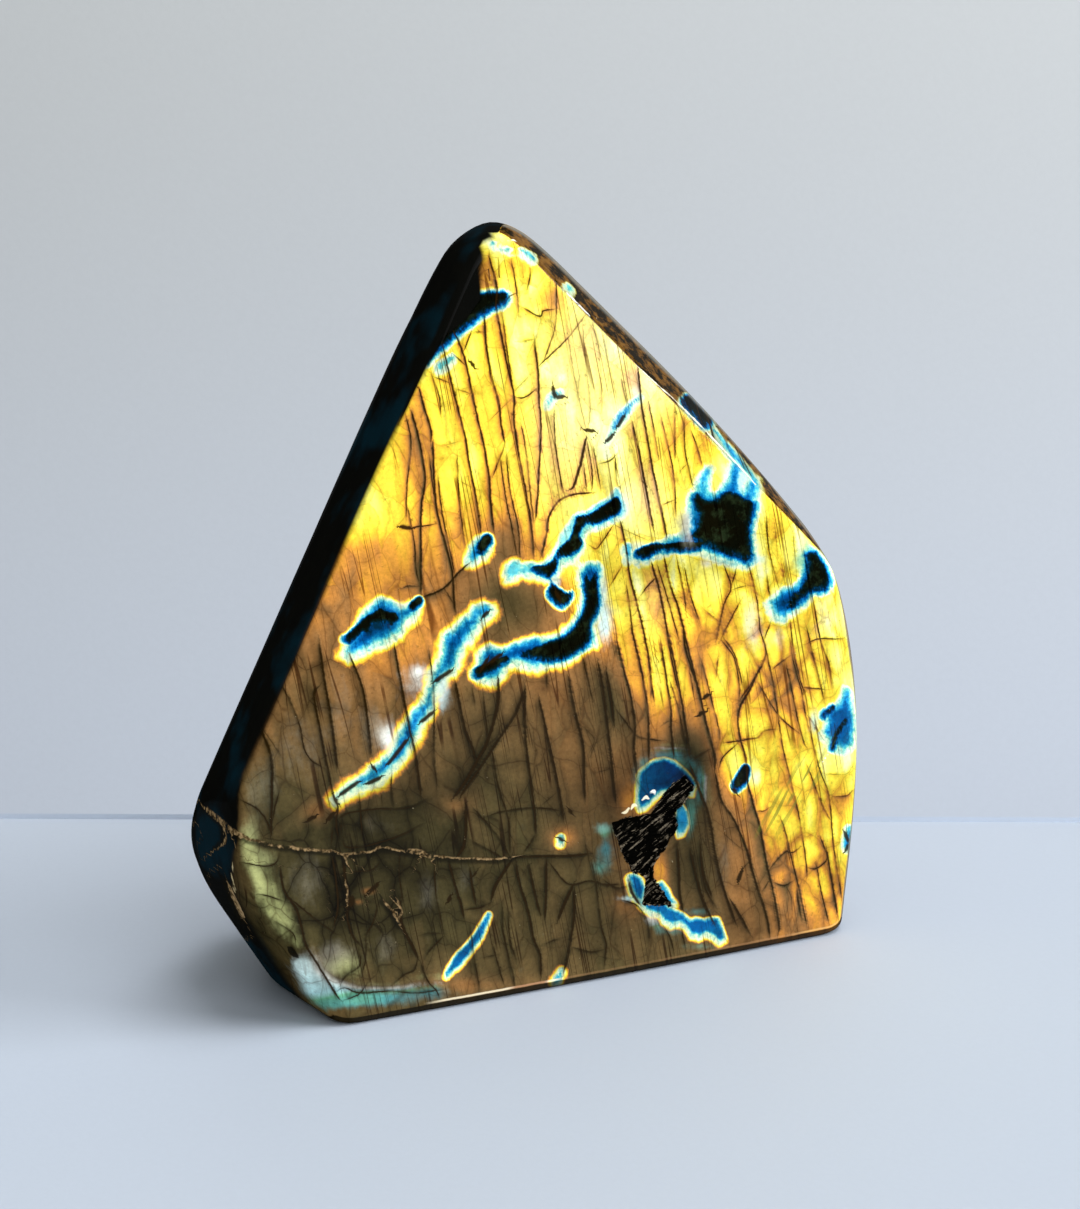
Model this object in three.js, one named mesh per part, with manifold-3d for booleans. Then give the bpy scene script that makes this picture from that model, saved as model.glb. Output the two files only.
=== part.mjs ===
// A labradorite freeform: one piece of stone, sawn flat at the base so that it stands upright, ground into broad
// facets and polished all over. Its front and back are wide and nearly flat, its sides are a ring of narrower
// facets, and one natural pocket in the front was left rough.
// Millimetres, +Z up. +X runs along the front face and -Y is the side that the front face looks to.
// The origin is under the middle of the stone, on the surface that it stands on.
import * as THREE from "three";
import { ConvexGeometry } from "three/addons/geometries/ConvexGeometry.js";
import { mergeVertices } from "three/addons/utils/BufferGeometryUtils.js";
import Module from "manifold-3d";

// The point inside the stone that every facet is measured from, before the whole is centred over the origin
const HEART = new THREE.Vector3(0, 0, 50);

// The block that the stone is ground from, where its middle lies from the heart, and the rows and columns of the
// net that is laid over it
const BLANK = { wide: 120, deep: 44, high: 130 };
const BLANK_MIDDLE = { x: 4, y: -2.2, z: 15.2 };
const NET = { wide: 35, deep: 13, high: 37 };

// How far a ray from the heart is searched for the surface, and how often its span is halved
const RAY_SPAN = 120;
const HALVINGS = 40;

// The base is sawn at this level. Anything ground lower than it is part of the flat.
const BASE_LEVEL = 0;

// Every facet: the way it faces within the plane of the front face, as an angle from +X towards +Z, how far it is
// turned from there towards the front (or, when negative, the back), how far its plane lies from the heart, how
// softly it runs into its neighbours, and the radius of its belly where it isn't quite flat.
const FRONT = { name: "front", around: 77.3, turned: 83.9, reach: 20.2, soft: 0, belly: 2200 };
const FACETS = [
  FRONT,
  { name: "back", around: 90, turned: -82, reach: 14.5, soft: 5, belly: 700 },
  { name: "left side", around: 151.8, turned: 1.7, reach: 45.7, soft: 3 },
  { name: "left edge, behind", around: 156, turned: -38, reach: 35.4, soft: 6 },
  { name: "left corner", around: 181, turned: 8, reach: 58.2, soft: 2 },
  { name: "left corner, behind", around: 188, turned: -38, reach: 49.7, soft: 4 },
  { name: "lower left", around: 208, turned: 15, reach: 63, soft: 3 },
  { name: "lower left, behind", around: 212, turned: -30, reach: 56.3, soft: 5 },
  { name: "top right side", around: 46, turned: 4, reach: 57.1, soft: 3 },
  { name: "top right edge", around: 47.7, turned: 36, reach: 51.1, soft: 0.8 },
  { name: "top right, behind", around: 44, turned: -45, reach: 43, soft: 6 },
  { name: "shoulder", around: 37.1, turned: 4, reach: 57.8, soft: 5 },
  { name: "right side, high", around: 9, turned: 4, reach: 60.9, soft: 5 },
  { name: "right side, low", around: -7.2, turned: 4, reach: 65, soft: 5 },
  { name: "right side, behind", around: 5, turned: -50, reach: 52, soft: 6 },
  { name: "tip, right", around: 65, turned: 6, reach: 73.4, soft: 5 },
  { name: "tip", around: 93.7, turned: 4, reach: 80.9, soft: 5 },
  { name: "tip, left", around: 120.6, turned: 4, reach: 71.5, soft: 2.5 },
  { name: "base", around: -90, turned: 0, reach: 50.2, soft: 2.2 },
];

// The rough pocket in the front, seen from the front, as X and Z before the stone is centred
const POCKET_OUTLINE = [
  [10.5, 28],
  [13, 28.5],
  [18, 28.5],
  [21.5, 32.5],
  [25, 34.5],
  [26.5, 32],
  [23, 28],
  [23, 25],
  [18, 19],
  [18, 17],
  [22, 11],
  [16, 12.5],
  [17, 17.5],
  [14.5, 18.5],
  [12.5, 22],
];
// The pocket's floor breaks into ridges that climb to the right
const POCKET = { x: 18.5, z: 22, depth: 1.2, ridge: 0.5, pitch: 1.8, slope: 23 };
// How far the tool that cuts the pocket reaches past it, sideways and out of the stone
const POCKET_TOOL = { half: 22, clear: 6 };

const radians = THREE.MathUtils.degToRad;
const wasm = await Module();
wasm.setup();

// The outward direction of a facet
function facing({ around, turned }) {
  const flat = Math.cos(radians(turned));
  return new THREE.Vector3(
    flat * Math.cos(radians(around)),
    -Math.sin(radians(turned)),
    flat * Math.sin(radians(around)),
  );
}

for (const facet of FACETS) facet.normal = facing(facet);

// The larger of two heights, with the crease between them rounded over a width
function smoothLarger(a, b, width) {
  if (width <= 0) return Math.max(a, b);
  const overlap = Math.max(width - Math.abs(a - b), 0) / width;
  return Math.max(a, b) + (overlap * overlap * width) / 4;
}

// How far a point, measured from the heart, stands outside one facet
function outsideFacet(point, { normal, reach, belly }) {
  const height = point.dot(normal);
  if (!belly) return height - reach;
  return height - reach + (point.lengthSq() - height * height) / (2 * belly);
}

// How far a point, measured from the heart, stands outside the whole stone
function outsideStone(point) {
  let most = -Infinity;
  for (const facet of FACETS) {
    const here = outsideFacet(point, facet);
    most = most === -Infinity ? here : smoothLarger(most, here, facet.soft);
  }
  return most;
}

// The place where the ray from the heart in a direction leaves the stone
function surfaceAlong(way) {
  let near = 0;
  let far = RAY_SPAN;
  for (let i = 0; i < HALVINGS; i++) {
    const middle = (near + far) / 2;
    if (outsideStone(way.clone().multiplyScalar(middle)) > 0) far = middle;
    else near = middle;
  }
  return way.clone().multiplyScalar(near);
}

// The polished stone: the points of the net moved along their rays onto the stone and sawn at the base, with a skin
// stretched over them, because the stone bulges everywhere
function groundStone() {
  const net = new THREE.BoxGeometry(
    BLANK.wide,
    BLANK.deep,
    BLANK.high,
    NET.wide,
    NET.deep,
    NET.high,
  );
  net.translate(BLANK_MIDDLE.x, BLANK_MIDDLE.y, BLANK_MIDDLE.z);
  net.deleteAttribute("normal");
  net.deleteAttribute("uv");
  const place = mergeVertices(net).getAttribute("position");
  const points = [];
  for (let i = 0; i < place.count; i++) {
    const way = new THREE.Vector3().fromBufferAttribute(place, i).normalize();
    const point = surfaceAlong(way).add(HEART);
    point.z = Math.max(point.z, BASE_LEVEL);
    points.push(point);
  }
  return new ConvexGeometry(points);
}

// The point of the front face at an X and a Z
function onFront(x, z) {
  const { normal, reach, belly } = FRONT;
  const up = z - HEART.z;
  const sag = (x * x + up * up) / (2 * belly);
  const y = (reach - sag - normal.x * x - normal.z * up) / normal.y;
  return new THREE.Vector3(x, y, z);
}

// Everything in front of the heart that lies inside the pocket's outline
function pocketPrism() {
  const outline = new THREE.Shape(POCKET_OUTLINE.map(([x, z]) => new THREE.Vector2(x, z)));
  const prism = new THREE.ExtrudeGeometry(outline, { depth: BLANK.deep, bevelEnabled: false });
  return prism.rotateX(Math.PI / 2);
}

// Everything above the pocket's ridged floor
function aboveRidges() {
  const { half, clear } = POCKET_TOOL;
  const profile = new THREE.Shape();
  profile.moveTo(-half, clear);
  for (let u = -half; u < half; u += POCKET.pitch) {
    profile.lineTo(u, -POCKET.depth);
    profile.lineTo(Math.min(u + POCKET.pitch, half), POCKET.ridge - POCKET.depth);
  }
  profile.lineTo(half, clear);
  const slab = new THREE.ExtrudeGeometry(profile, { depth: 2 * half, bevelEnabled: false });
  slab.translate(0, 0, -half);

  // Along the ridges, out of the face, and across the ridges
  const out = FRONT.normal;
  const slope = radians(POCKET.slope);
  const along = new THREE.Vector3(Math.cos(slope), 0, Math.sin(slope)).projectOnPlane(out).normalize();
  const across = out.clone().cross(along);
  const turn = new THREE.Matrix4().makeBasis(across, out, along);
  return slab.applyMatrix4(turn.setPosition(onFront(POCKET.x, POCKET.z)));
}

// A closed geometry as a solid that can be cut
function solid(geometry) {
  geometry.deleteAttribute("normal");
  geometry.deleteAttribute("uv");
  const merged = mergeVertices(geometry);
  return new wasm.Manifold(
    new wasm.Mesh({
      numProp: 3,
      vertProperties: new Float32Array(merged.getAttribute("position").array),
      triVerts: new Uint32Array(merged.index.array),
    }),
  );
}

// A cut solid as a geometry again
function geometryOf(body) {
  const { vertProperties, triVerts } = body.getMesh();
  const geometry = new THREE.BufferGeometry();
  geometry.setAttribute("position", new THREE.BufferAttribute(vertProperties, 3));
  geometry.setIndex(new THREE.BufferAttribute(triVerts, 1));
  return geometry;
}

// The stone with its pocket, moved so that its box is centred over the origin
function labradorite() {
  const pocket = solid(aboveRidges()).intersect(solid(pocketPrism()));
  const geometry = geometryOf(solid(groundStone()).subtract(pocket));
  geometry.computeBoundingBox();
  const middle = geometry.boundingBox.getCenter(new THREE.Vector3());
  return geometry.translate(-middle.x, -middle.y, 0);
}

const group = new THREE.Group();
const stone = new THREE.Mesh(
  labradorite(),
  new THREE.MeshStandardMaterial({ color: 0x6a5a34, roughness: 0.15, metalness: 0 }),
);
stone.name = "stone";
group.add(stone);
export default group;
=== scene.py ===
import math
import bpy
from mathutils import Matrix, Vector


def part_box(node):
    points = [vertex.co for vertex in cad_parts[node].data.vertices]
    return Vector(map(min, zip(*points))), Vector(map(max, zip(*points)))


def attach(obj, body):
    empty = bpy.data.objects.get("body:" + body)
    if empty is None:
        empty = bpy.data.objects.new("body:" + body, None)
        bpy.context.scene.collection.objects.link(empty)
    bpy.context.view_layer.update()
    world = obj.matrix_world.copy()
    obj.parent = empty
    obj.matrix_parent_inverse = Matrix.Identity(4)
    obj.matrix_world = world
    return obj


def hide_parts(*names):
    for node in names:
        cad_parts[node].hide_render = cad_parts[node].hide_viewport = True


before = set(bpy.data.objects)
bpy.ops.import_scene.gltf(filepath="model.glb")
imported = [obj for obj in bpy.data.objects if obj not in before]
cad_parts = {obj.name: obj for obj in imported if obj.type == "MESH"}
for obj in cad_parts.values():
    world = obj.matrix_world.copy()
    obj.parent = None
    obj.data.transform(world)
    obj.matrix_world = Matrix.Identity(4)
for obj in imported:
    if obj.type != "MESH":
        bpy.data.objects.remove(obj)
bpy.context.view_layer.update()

from types import SimpleNamespace

import bmesh
import bpy
import numpy as np
from mathutils import Vector

bl_info = {
    "name": "Polished labradorite freeform",
    "version": (1, 0, 0),
    "blender": (4, 5, 0),
    "location": "View3D > Sidebar > Labradorite",
    "description": "Grinds a labradorite freeform, paints its flash and cracks, and sets up its stage",
    "category": "Object",
}

MM = 0.001
STONE_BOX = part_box("stone")
STONE_NODE = "stone"
BODY = "root"

# The photograph's frame, in pixels, and the camera that took it: how far away its picture plane lies in
# pixels, its place in metres, how far it looks down and how far it is turned to the right
FRAME_PX = (1080, 1209)
FOCAL_PX = 2200
SENSOR_MM = 36
CAMERA_PLACE = (-0.13351, -0.34323, 0.1684)
CAMERA_DOWN = 16
CAMERA_TURN = 21.591

# The stone, in millimetres. Every facet is measured from the heart: the way it faces within the plane of the
# front face, its turn towards the front, its reach, the softness of its edge and the radius of its belly.
HEART = (0, 0, 50)
BLANK = {"wide": 120, "deep": 43, "high": 130}
FACETS = {
    "front": (77.3, 83.9, 20.2, 0, 2200),
    "back": (90, -82, 14.5, 5, 700),
    "left side": (151.8, 1.7, 45.7, 3, 0),
    "left edge, behind": (156, -38, 35.4, 6, 0),
    "left corner": (181, 8, 58.2, 2, 0),
    "left corner, behind": (188, -38, 49.7, 4, 0),
    "lower left": (208, 15, 63, 3, 0),
    "lower left, behind": (212, -30, 56.3, 5, 0),
    "top right side": (46, 4, 57.1, 3, 0),
    "top right edge": (47.7, 36, 51.1, 0.8, 0),
    "top right, behind": (44, -45, 43, 6, 0),
    "shoulder": (37.1, 4, 57.8, 5, 0),
    "right side, high": (9, 4, 60.9, 5, 0),
    "right side, low": (-7.2, 4, 65, 5, 0),
    "right side, behind": (5, -50, 52, 6, 0),
    "tip, right": (65, 6, 73.4, 5, 0),
    "tip": (93.7, 4, 80.9, 5, 0),
    "tip, left": (120.6, 4, 71.5, 2.5, 0),
    "base": (-90, 0, 50.2, 2.2, 0),
}
LEFT_FACETS = ("left side", "left edge, behind", "left corner", "lower left", "tip, left")
RIGHT_FACETS = ("top right side", "shoulder", "right side, high", "right side, low")
POCKET_OUTLINE = [
    (10.5, 28), (13, 28.5), (18, 28.5), (21.5, 32.5), (25, 34.5), (26.5, 32), (23, 28), (23, 25),
    (18, 19), (18, 17), (22, 11), (16, 12.5), (17, 17.5), (14.5, 18.5), (12.5, 22),
]
POCKET = {"depth": 1.2, "ridge": 0.5, "tooth": 0.18, "pitch": 1.8, "slope": 23, "lip": 0.35}

# How far round the pocket and beside the bevel's crease the faces are divided once more
POCKET_MARGIN = 1.5
CREASE_REACH = {"crease": 0.6, "crease again": 0.2}

# Cleavage cracks as they show in the photograph, in its pixels, from the top down or from left to right.
# The letter is how strong each is: X crumbly and wide, S strong, M middling, F faint, B a black fleck.
CRACKS = """
S 488,254 497,287 496,305 501,334 508,368 514,396 514,420 519,456 525,488 531,523 534,560
M 501,305 507,350 513,390
M 521,423 526,451 529,481 534,526
S 484,314 486,343 491,376 499,403 501,424 505,443
M 505,443 503,450 497,465 492,478
M 500,456 505,494 511,523 517,557
M 506,453 510,491 518,526 520,560
S 453,330 463,353 470,383 477,416 483,441 489,477 491,506 494,532
S 443,347 451,381 458,409 465,436 469,463 476,497 480,526 481,533
M 430,371 439,396 441,417
S 419,386 424,407 431,430 431,442
S 433,441 434,477 437,511 445,543 452,571 454,600 456,615
M 429,457 432,480 435,500
S 411,410 419,440 425,478 421,511 421,560 421,598
M 405,412 411,443 407,483 406,520
M 438,477 441,506 449,546 455,575
M 457,454 459,500 463,531 466,549
M 407,505 414,541 416,570 420,584
S 534,338 538,371 539,399 541,429 539,470 537,506 535,520
M 554,409 555,441 560,477 563,494
M 556,273 556,320 550,344 544,360
F 561,280 565,313 571,357 577,390 584,421 587,432
F 582,322 586,363 590,404 588,432
F 592,320 599,352 601,380 602,410
F 611,371 617,400
M 621,377 627,406
S 638,366 641,401 646,430 651,460 657,490 663,517 667,540
S 664,557 670,584 680,614 686,640 693,669 700,695
S 632,421 638,448 644,479 649,506 654,531
S 651,561 659,589 665,619 671,656 678,689
M 657,564 666,594 676,629 679,640
M 648,399 654,430 659,460
M 661,416 668,446 674,476 676,517
M 675,403 675,444 675,460
M 684,413 685,449 691,479 694,489
M 691,430 699,453 703,469
X 586,438 581,462 574,486 571,489
M 587,440 592,473 592,491
M 593,446 601,491
M 583,462 587,491
M 615,456 617,481 620,490
S 620,520 626,547 630,576 637,604 643,629 648,654 651,680 654,700
M 626,583 630,610 634,640
F 607,604 616,630 617,654
M 677,559 684,594 686,611
M 684,566 691,597 700,623
M 723,563 731,587 724,604 716,641
M 737,566 731,587
M 748,563 757,600 760,629 766,654 756,676 741,699
M 766,516 769,551 778,584 780,590
F 774,517 778,560
M 781,560 786,589
F 793,531 797,583
M 766,574 770,599
M 768,656 776,699
M 771,621 764,640
M 790,620 795,659 806,699
M 806,626 814,659 824,699
M 814,603 820,639 829,664 832,689
M 741,600 729,623 721,639
M 723,637 733,651 739,670 743,690
S 455,681 460,706 465,730 473,750 478,769
X 498,678 498,703 488,740 478,759 466,781 454,797
S 524,691 516,713 503,733 490,753 473,778 460,797
M 491,745 498,786 508,819 510,854
M 483,695 485,715 488,740
M 472,688 475,706
S 525,686 525,733 530,776 535,816 536,836
S 539,698 548,740 558,786 564,822
M 546,668 547,690
S 568,675 573,703 583,746 584,773 585,800
M 583,657 588,681 593,701
S 598,662 603,690 609,740 614,786 616,803
S 606,670 611,698 614,726
S 616,638 623,667 631,698 635,726 634,748 637,775
S 631,626 638,656 644,684 648,714 649,760
M 647,648 651,673 651,700
S 660,639 665,670 671,711 671,729 674,757
S 667,629 674,661 681,697 686,730 690,757
M 670,681 679,711 684,739 691,760
S 683,627 686,651 694,676 701,700 706,723 714,754 715,770
M 689,669 694,696
M 701,659 707,681 713,706 719,729 719,743
M 718,656 716,678
M 721,640 734,657 739,684 739,700
S 760,667 749,691 739,710 739,733 746,759 748,784 756,814 760,827 766,861 773,891 779,924 778,934
M 760,737 739,741 720,743
M 738,743 723,757 719,769
M 693,760 703,753 711,749
S 715,773 721,800 734,820 747,851 756,884 766,914 770,937
F 660,727 669,721 679,723
M 697,777 699,791 704,806
S 689,763 699,789 709,817 716,859 726,896 736,924
F 580,723 591,736
F 600,733 593,749 590,757
M 764,640 770,669 777,707 782,743 789,774 797,807 802,834 806,863 807,878
M 766,654 756,678 746,691 739,702
M 756,679 770,703 783,720 800,734
M 741,739 757,738 764,731 777,729
M 786,664 791,687 797,716 803,740 807,749
M 790,640 794,664 801,689 806,717 813,743 820,771 829,797 834,850 840,887 842,899
M 809,646 817,669 823,697
F 821,640 829,669 831,683
M 771,670 780,663 790,656
M 801,687 820,689 827,690
M 806,713 817,729 823,739
M 806,763 816,789 824,809 831,821
F 824,774 846,774 853,764
M 831,797 846,796 853,790
F 761,769 770,771
M 700,839 703,879 709,896 717,909
S 730,899 743,921 750,934
B 739,879 741,872
M 741,873 744,867 750,861
M 756,811 763,811 769,808
M 769,870 776,861 786,851 791,853 800,848
M 780,817 784,827 791,856 798,884 803,907 807,927
M 797,885 798,900 802,920
M 771,881 784,886 793,881
F 784,883 791,896 793,906
F 801,833 806,837 814,833
M 819,834 827,856 823,864 814,869 807,867
M 816,863 821,891 829,924
S 826,847 831,876 836,906 837,914
M 836,843 843,841
M 760,894 764,889 770,879
F 721,831 739,847 747,853
S 319,640 324,678 331,718 336,756 337,769
S 319,686 314,696 321,735 333,794 338,806 336,822 339,839
S 258,723 271,756 272,789 271,837
M 280,789 275,806 273,821
M 280,681 298,720 306,754 323,768
S 349,653 363,690 369,733 371,756
S 394,645 401,683 409,726 416,757 421,797
M 429,650 434,698 434,757 437,786
M 392,773 391,789 394,808
F 381,789 382,806
M 359,794 361,816 362,837
F 259,723 283,759
S 592,493 576,494 560,500 549,516 547,533 541,557
M 546,521 537,519
S 421,598 443,589 457,574 469,563
M 444,589 455,606
M 400,589 409,586 421,587
M 403,529 423,526 436,524
F 440,447 461,441
F 459,481 471,487
M 586,314 567,339 545,360 538,367
M 534,339 520,342
M 474,332 484,332
M 473,327 466,346 463,353
M 432,376 450,383
M 453,354 466,366
M 457,389 471,394
M 514,396 521,398 529,395 537,388
F 514,396 500,410 489,421
F 539,401 527,414
F 530,375 513,393
M 519,293 510,296 500,309
M 520,306 540,317 543,311 556,309
M 511,259 516,287 519,313
M 530,261 530,277 527,290
M 599,464 611,460 617,454
M 614,524 604,539 596,549 589,545
F 596,549 601,564
F 613,524 631,533 647,540
M 660,506 674,500
M 680,471 686,465
M 640,596 653,580 659,578
M 733,589 746,586
M 703,609 719,622
M 806,644 819,639 843,639
M 623,564 610,586
F 639,607 633,617
M 617,711 624,720 637,736 649,739 663,741
F 578,723 594,738 589,754
M 485,817 506,811 536,808 561,811
F 541,806 556,793
F 593,773 614,768
M 473,808 496,834 511,859
M 471,841 496,854 506,862
X 466,806 465,842 457,857
X 511,861 496,885 491,900
S 511,857 543,856 569,856 589,854
M 549,862 568,884 589,881 606,885 622,884
F 584,839 596,889
M 523,854 533,839 536,830
M 338,819 349,813 376,809 407,808 427,799
M 343,837 346,847 366,846 399,836 422,824
M 341,822 342,836
M 240,800 256,808 266,820 272,836
M 240,862 262,866 275,864 280,852
S 280,868 284,890 296,908 301,925 306,945 318,965 330,985 340,1000
M 256,894 268,896 286,902
S 332,855 336,880 338,905 334,925
X 344,858 345,885 348,900 346,912
M 290,898 310,915 330,930 337,934
M 272,920 286,928 294,935 296,945
M 333,826 331,845
S 352,905 347,915 352,935 360,945
M 352,872 372,870 380,862
M 400,850 399,875 402,900 395,910
X 400,900 402,925 412,945 418,958
M 378,905 372,925 366,935 366,955 362,975
M 434,865 436,895 440,915 444,935
S 449,862 455,885 461,905 464,920
M 420,935 430,933 441,934
M 418,958 414,970 404,975 392,985
M 420,960 427,980 436,990 440,1000
M 440,990 415,993 390,991 360,993 345,988 335,992
M 444,936 430,950 425,958
M 358,948 360,965 347,975 340,985
M 366,985 358,995 345,1000
S 470,868 473,890 476,905
M 490,903 478,908 463,910
S 478,870 470,880
S 515,862 520,885 528,910 534,940 540,955 541,978
M 502,905 503,930 508,955 513,975 515,988
M 508,910 510,940 516,960
S 528,862 533,885 540,915
S 546,860 546,890 545,920
X 573,885 564,905 558,920
S 574,890 574,915 569,950 563,975
M 591,860 596,885 601,925 606,945 604,968
M 545,944 555,940 562,938
M 571,947 590,952 603,950
M 493,945 498,965 504,985
M 470,925 473,950 477,975 480,990
M 486,957 497,955
S 677,845 679,870 680,895 683,912
S 690,850 697,880 705,905 715,925
S 700,850 704,875 712,897
M 620,900 638,906 648,925 649,945
M 663,925 671,940 674,955
M 681,928 686,950
X 640,905 632,893 628,880
M 604,880 616,888 630,885
"""

# Black flecks inside the veins, broken off the cracks that cross them
FLECKS = """
B 450,671 436,681
B 432,713 422,721
B 406,741 389,763
B 379,778 369,783
B 357,783 341,794
B 336,800 337,802
B 373,767 374,769
B 309,820 314,817
B 329,819 333,814
B 487,613 484,616
B 587,430 592,431
B 402,527 410,528
B 553,388 555,397 562,397
B 346,902 352,897 352,905 346,902
B 368,893 377,885
B 700,714 704,712
B 705,697 708,695
B 623,417 619,425
B 608,440 612,436
B 560,839 562,840
B 450,898 449,900
B 570,811 571,812
B 472,364 473,365
B 487,660 482,668
B 500,655 491,662
B 556,592 560,600
B 736,792 734,790
B 845,833 848,840
B 848,846 846,850
"""

# The healed crack: tan and crumbly, with its branches. The first number is its width in pixels.
HEALED = """
5 207,809 219,820 231,829 243,837
3 243,837 256,841 271,844 303,849 333,851
2 333,851 344,854 371,851 382,847 407,852 424,854 445,857 487,859 512,857
2 225,829 225,842 218,848
2 344,854 347,862
2 345,882 348,895 347,902
3 228,883 234,899 240,912 244,919
2 408,850 420,850 432,858 424,856
2 385,902 395,915 400,925
2 398,902 402,912 398,920
"""

# Veins where the flash turns blue and dies out, as closed outlines and as strokes. Each: the darkest phase
# inside it, how quickly the colours run, and its points in pixels as x, y and, for a stroke, half width.
VEIN_OUTLINES = {
    "branch": (
        0.32, 1.0,
        "616,488 620,493 624,503 626,510 622,517 612,519 603,523 592,528 586,529 582,536 584,543 "
        "582,550 577,556 570,560 562,562 560,568 555,575 548,578 540,575 530,574 522,571 516,576 "
        "508,578 507,571 510,563 516,560 522,564 532,563 540,565 548,560 554,552 558,545 562,535 "
        "567,527 573,517 578,514 586,512 592,508 600,503 608,499 614,492",
    ),
    "branch, black": (
        0.0, 1.9,
        "617,497 620,503 619,511 611,514 602,518 594,521 587,520 582,524 579,531 577,538 582,541 "
        "579,548 571,552 563,553 557,558 556,567 549,575 544,572 538,570 532,567 538,566 546,566 "
        "554,560 558,551 563,545 570,541 573,532 576,523 577,517 584,516 591,514 598,510 606,505 "
        "612,500",
    ),
    "hook": (
        0.1, 0.9,
        "580,566 590,562 600,563 603,568 600,580 601,590 599,600 600,606 596,615 592,620 594,632 "
        "596,641 590,641 584,646 577,652 568,658 560,662 553,661 545,664 536,667 525,665 515,661 "
        "508,664 503,672 495,680 486,680 480,676 476,668 480,660 482,651 490,645 498,648 505,648 "
        "515,644 525,641 535,638 545,638 555,637 563,632 570,625 576,618 581,608 584,596 582,585 "
        "579,575",
    ),
    "hook, black": (
        0.0, 1.1,
        "585,572 590,582 596,572 597,590 598,602 594,612 589,620 588,634 588,640 580,645 572,651 "
        "562,656 552,658 543,657 534,655 522,653 534,648 550,642 560,640 569,634 576,627 582,618 "
        "587,608 589,596 586,582",
    ),
    "left patch": (
        0.1, 0.8,
        "381,598 392,602 402,606 413,604 419,602 418,609 414,616 406,622 399,632 390,638 378,642 "
        "366,648 357,654 350,656 344,652 348,645 352,636 357,628 362,618 367,610 374,602",
    ),
    "left patch, black": (
        0.0, 1.6,
        "396,613 398,618 392,622 386,620 378,619 371,621 369,628 363,628 357,634 350,639 346,637 "
        "353,631 360,624 367,617 374,613 380,608 384,611 389,612",
    ),
    "long river": (
        0.12, 0.8,
        "478,606 484,603 492,606 494,610 488,615 480,620 476,628 470,638 464,644 461,652 457,663 "
        "452,670 446,673 443,680 438,686 434,695 432,706 428,714 421,722 418,732 413,740 409,748 "
        "404,756 396,764 388,771 381,779 372,784 362,787 352,790 344,794 337,800 334,797 342,789 "
        "350,783 358,778 366,774 372,768 380,762 388,756 395,748 398,738 403,729 408,720 413,711 "
        "421,704 427,694 430,684 432,673 438,664 442,652 443,642 447,634 453,629 459,623 464,617 "
        "471,613 475,606",
    ),
    "spot in the hook": (
        0.08, 2.0,
        "553,584 560,590 566,594 572,592 570,598 564,604 558,602 552,596 549,590",
    ),
    "spot over the river": (
        0.1, 1.0,
        "478,537 486,535 491,540 490,548 486,554 478,558 473,562 468,560 470,552 473,545",
    ),
    "star": (
        0.1, 0.8,
        "687,527 688,513 691,500 696,490 698,480 702,473 707,467 712,466 709,475 707,483 710,493 "
        "717,495 722,488 727,480 729,470 732,462 738,460 743,467 742,477 740,487 743,492 747,483 "
        "752,475 758,478 760,487 757,497 753,508 750,520 748,530 751,543 753,557 747,563 733,562 "
        "717,557 703,552 690,548 673,548 657,553 640,562 635,557 638,550 653,545 667,538 680,535",
    ),
    "star, black": (
        0.0, 0.8,
        "697,495 702,500 710,503 717,501 724,494 730,492 737,495 745,500 752,503 750,513 747,527 "
        "748,540 750,555 745,556 733,551 717,545 703,540 692,537 700,527 702,513 697,503",
    ),
    "right edge": (
        0.1, 0.9,
        "770,608 768,602 776,594 784,588 792,586 800,581 805,573 808,563 809,552 808,546 814,549 "
        "820,558 826,570 831,582 830,588 822,589 815,592 808,599 800,606 792,613 784,618 776,616",
    ),
    "right edge, black": (
        0.0, 0.9,
        "809,553 815,553 823,566 828,578 824,585 812,587 804,593 796,600 789,604 794,595 803,587 "
        "808,577 810,564",
    ),
    "edge patch": (
        0.15, 0.9,
        "845,686 851,690 853,704 855,720 854,745 844,751 836,747 827,741 822,732 827,723 824,712 "
        "832,706 838,702 843,694",
    ),
    "pocket, above": (
        0.14, 2.0,
        "637,800 638,786 640,772 646,766 655,760 664,758 674,761 682,768 690,776 696,783 693,792 "
        "684,790 676,786 668,790 660,792 654,798 646,806 640,808",
    ),
    "pocket, right": (
        0.27, 2.4,
        "677,806 682,804 687,812 688,824 684,832 679,834 676,824",
    ),
    "pocket, low left": (
        0.18, 1.5,
        "629,876 634,874 641,878 645,888 642,900 636,897 632,888",
    ),
    "pocket, low right": (
        0.26, 1.5,
        "656,884 662,882 667,888 671,896 676,903 668,904 660,898 656,890",
    ),
    "streak under the pocket": (
        0.19, 1.8,
        "640,902 650,901 662,902 668,907 676,910 684,914 690,920 696,918 704,920 712,918 718,918 "
        "722,928 726,938 720,942 714,936 706,932 700,936 692,934 686,926 680,922 672,924 664,920 "
        "660,914 652,912 646,908",
    ),
}
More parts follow.
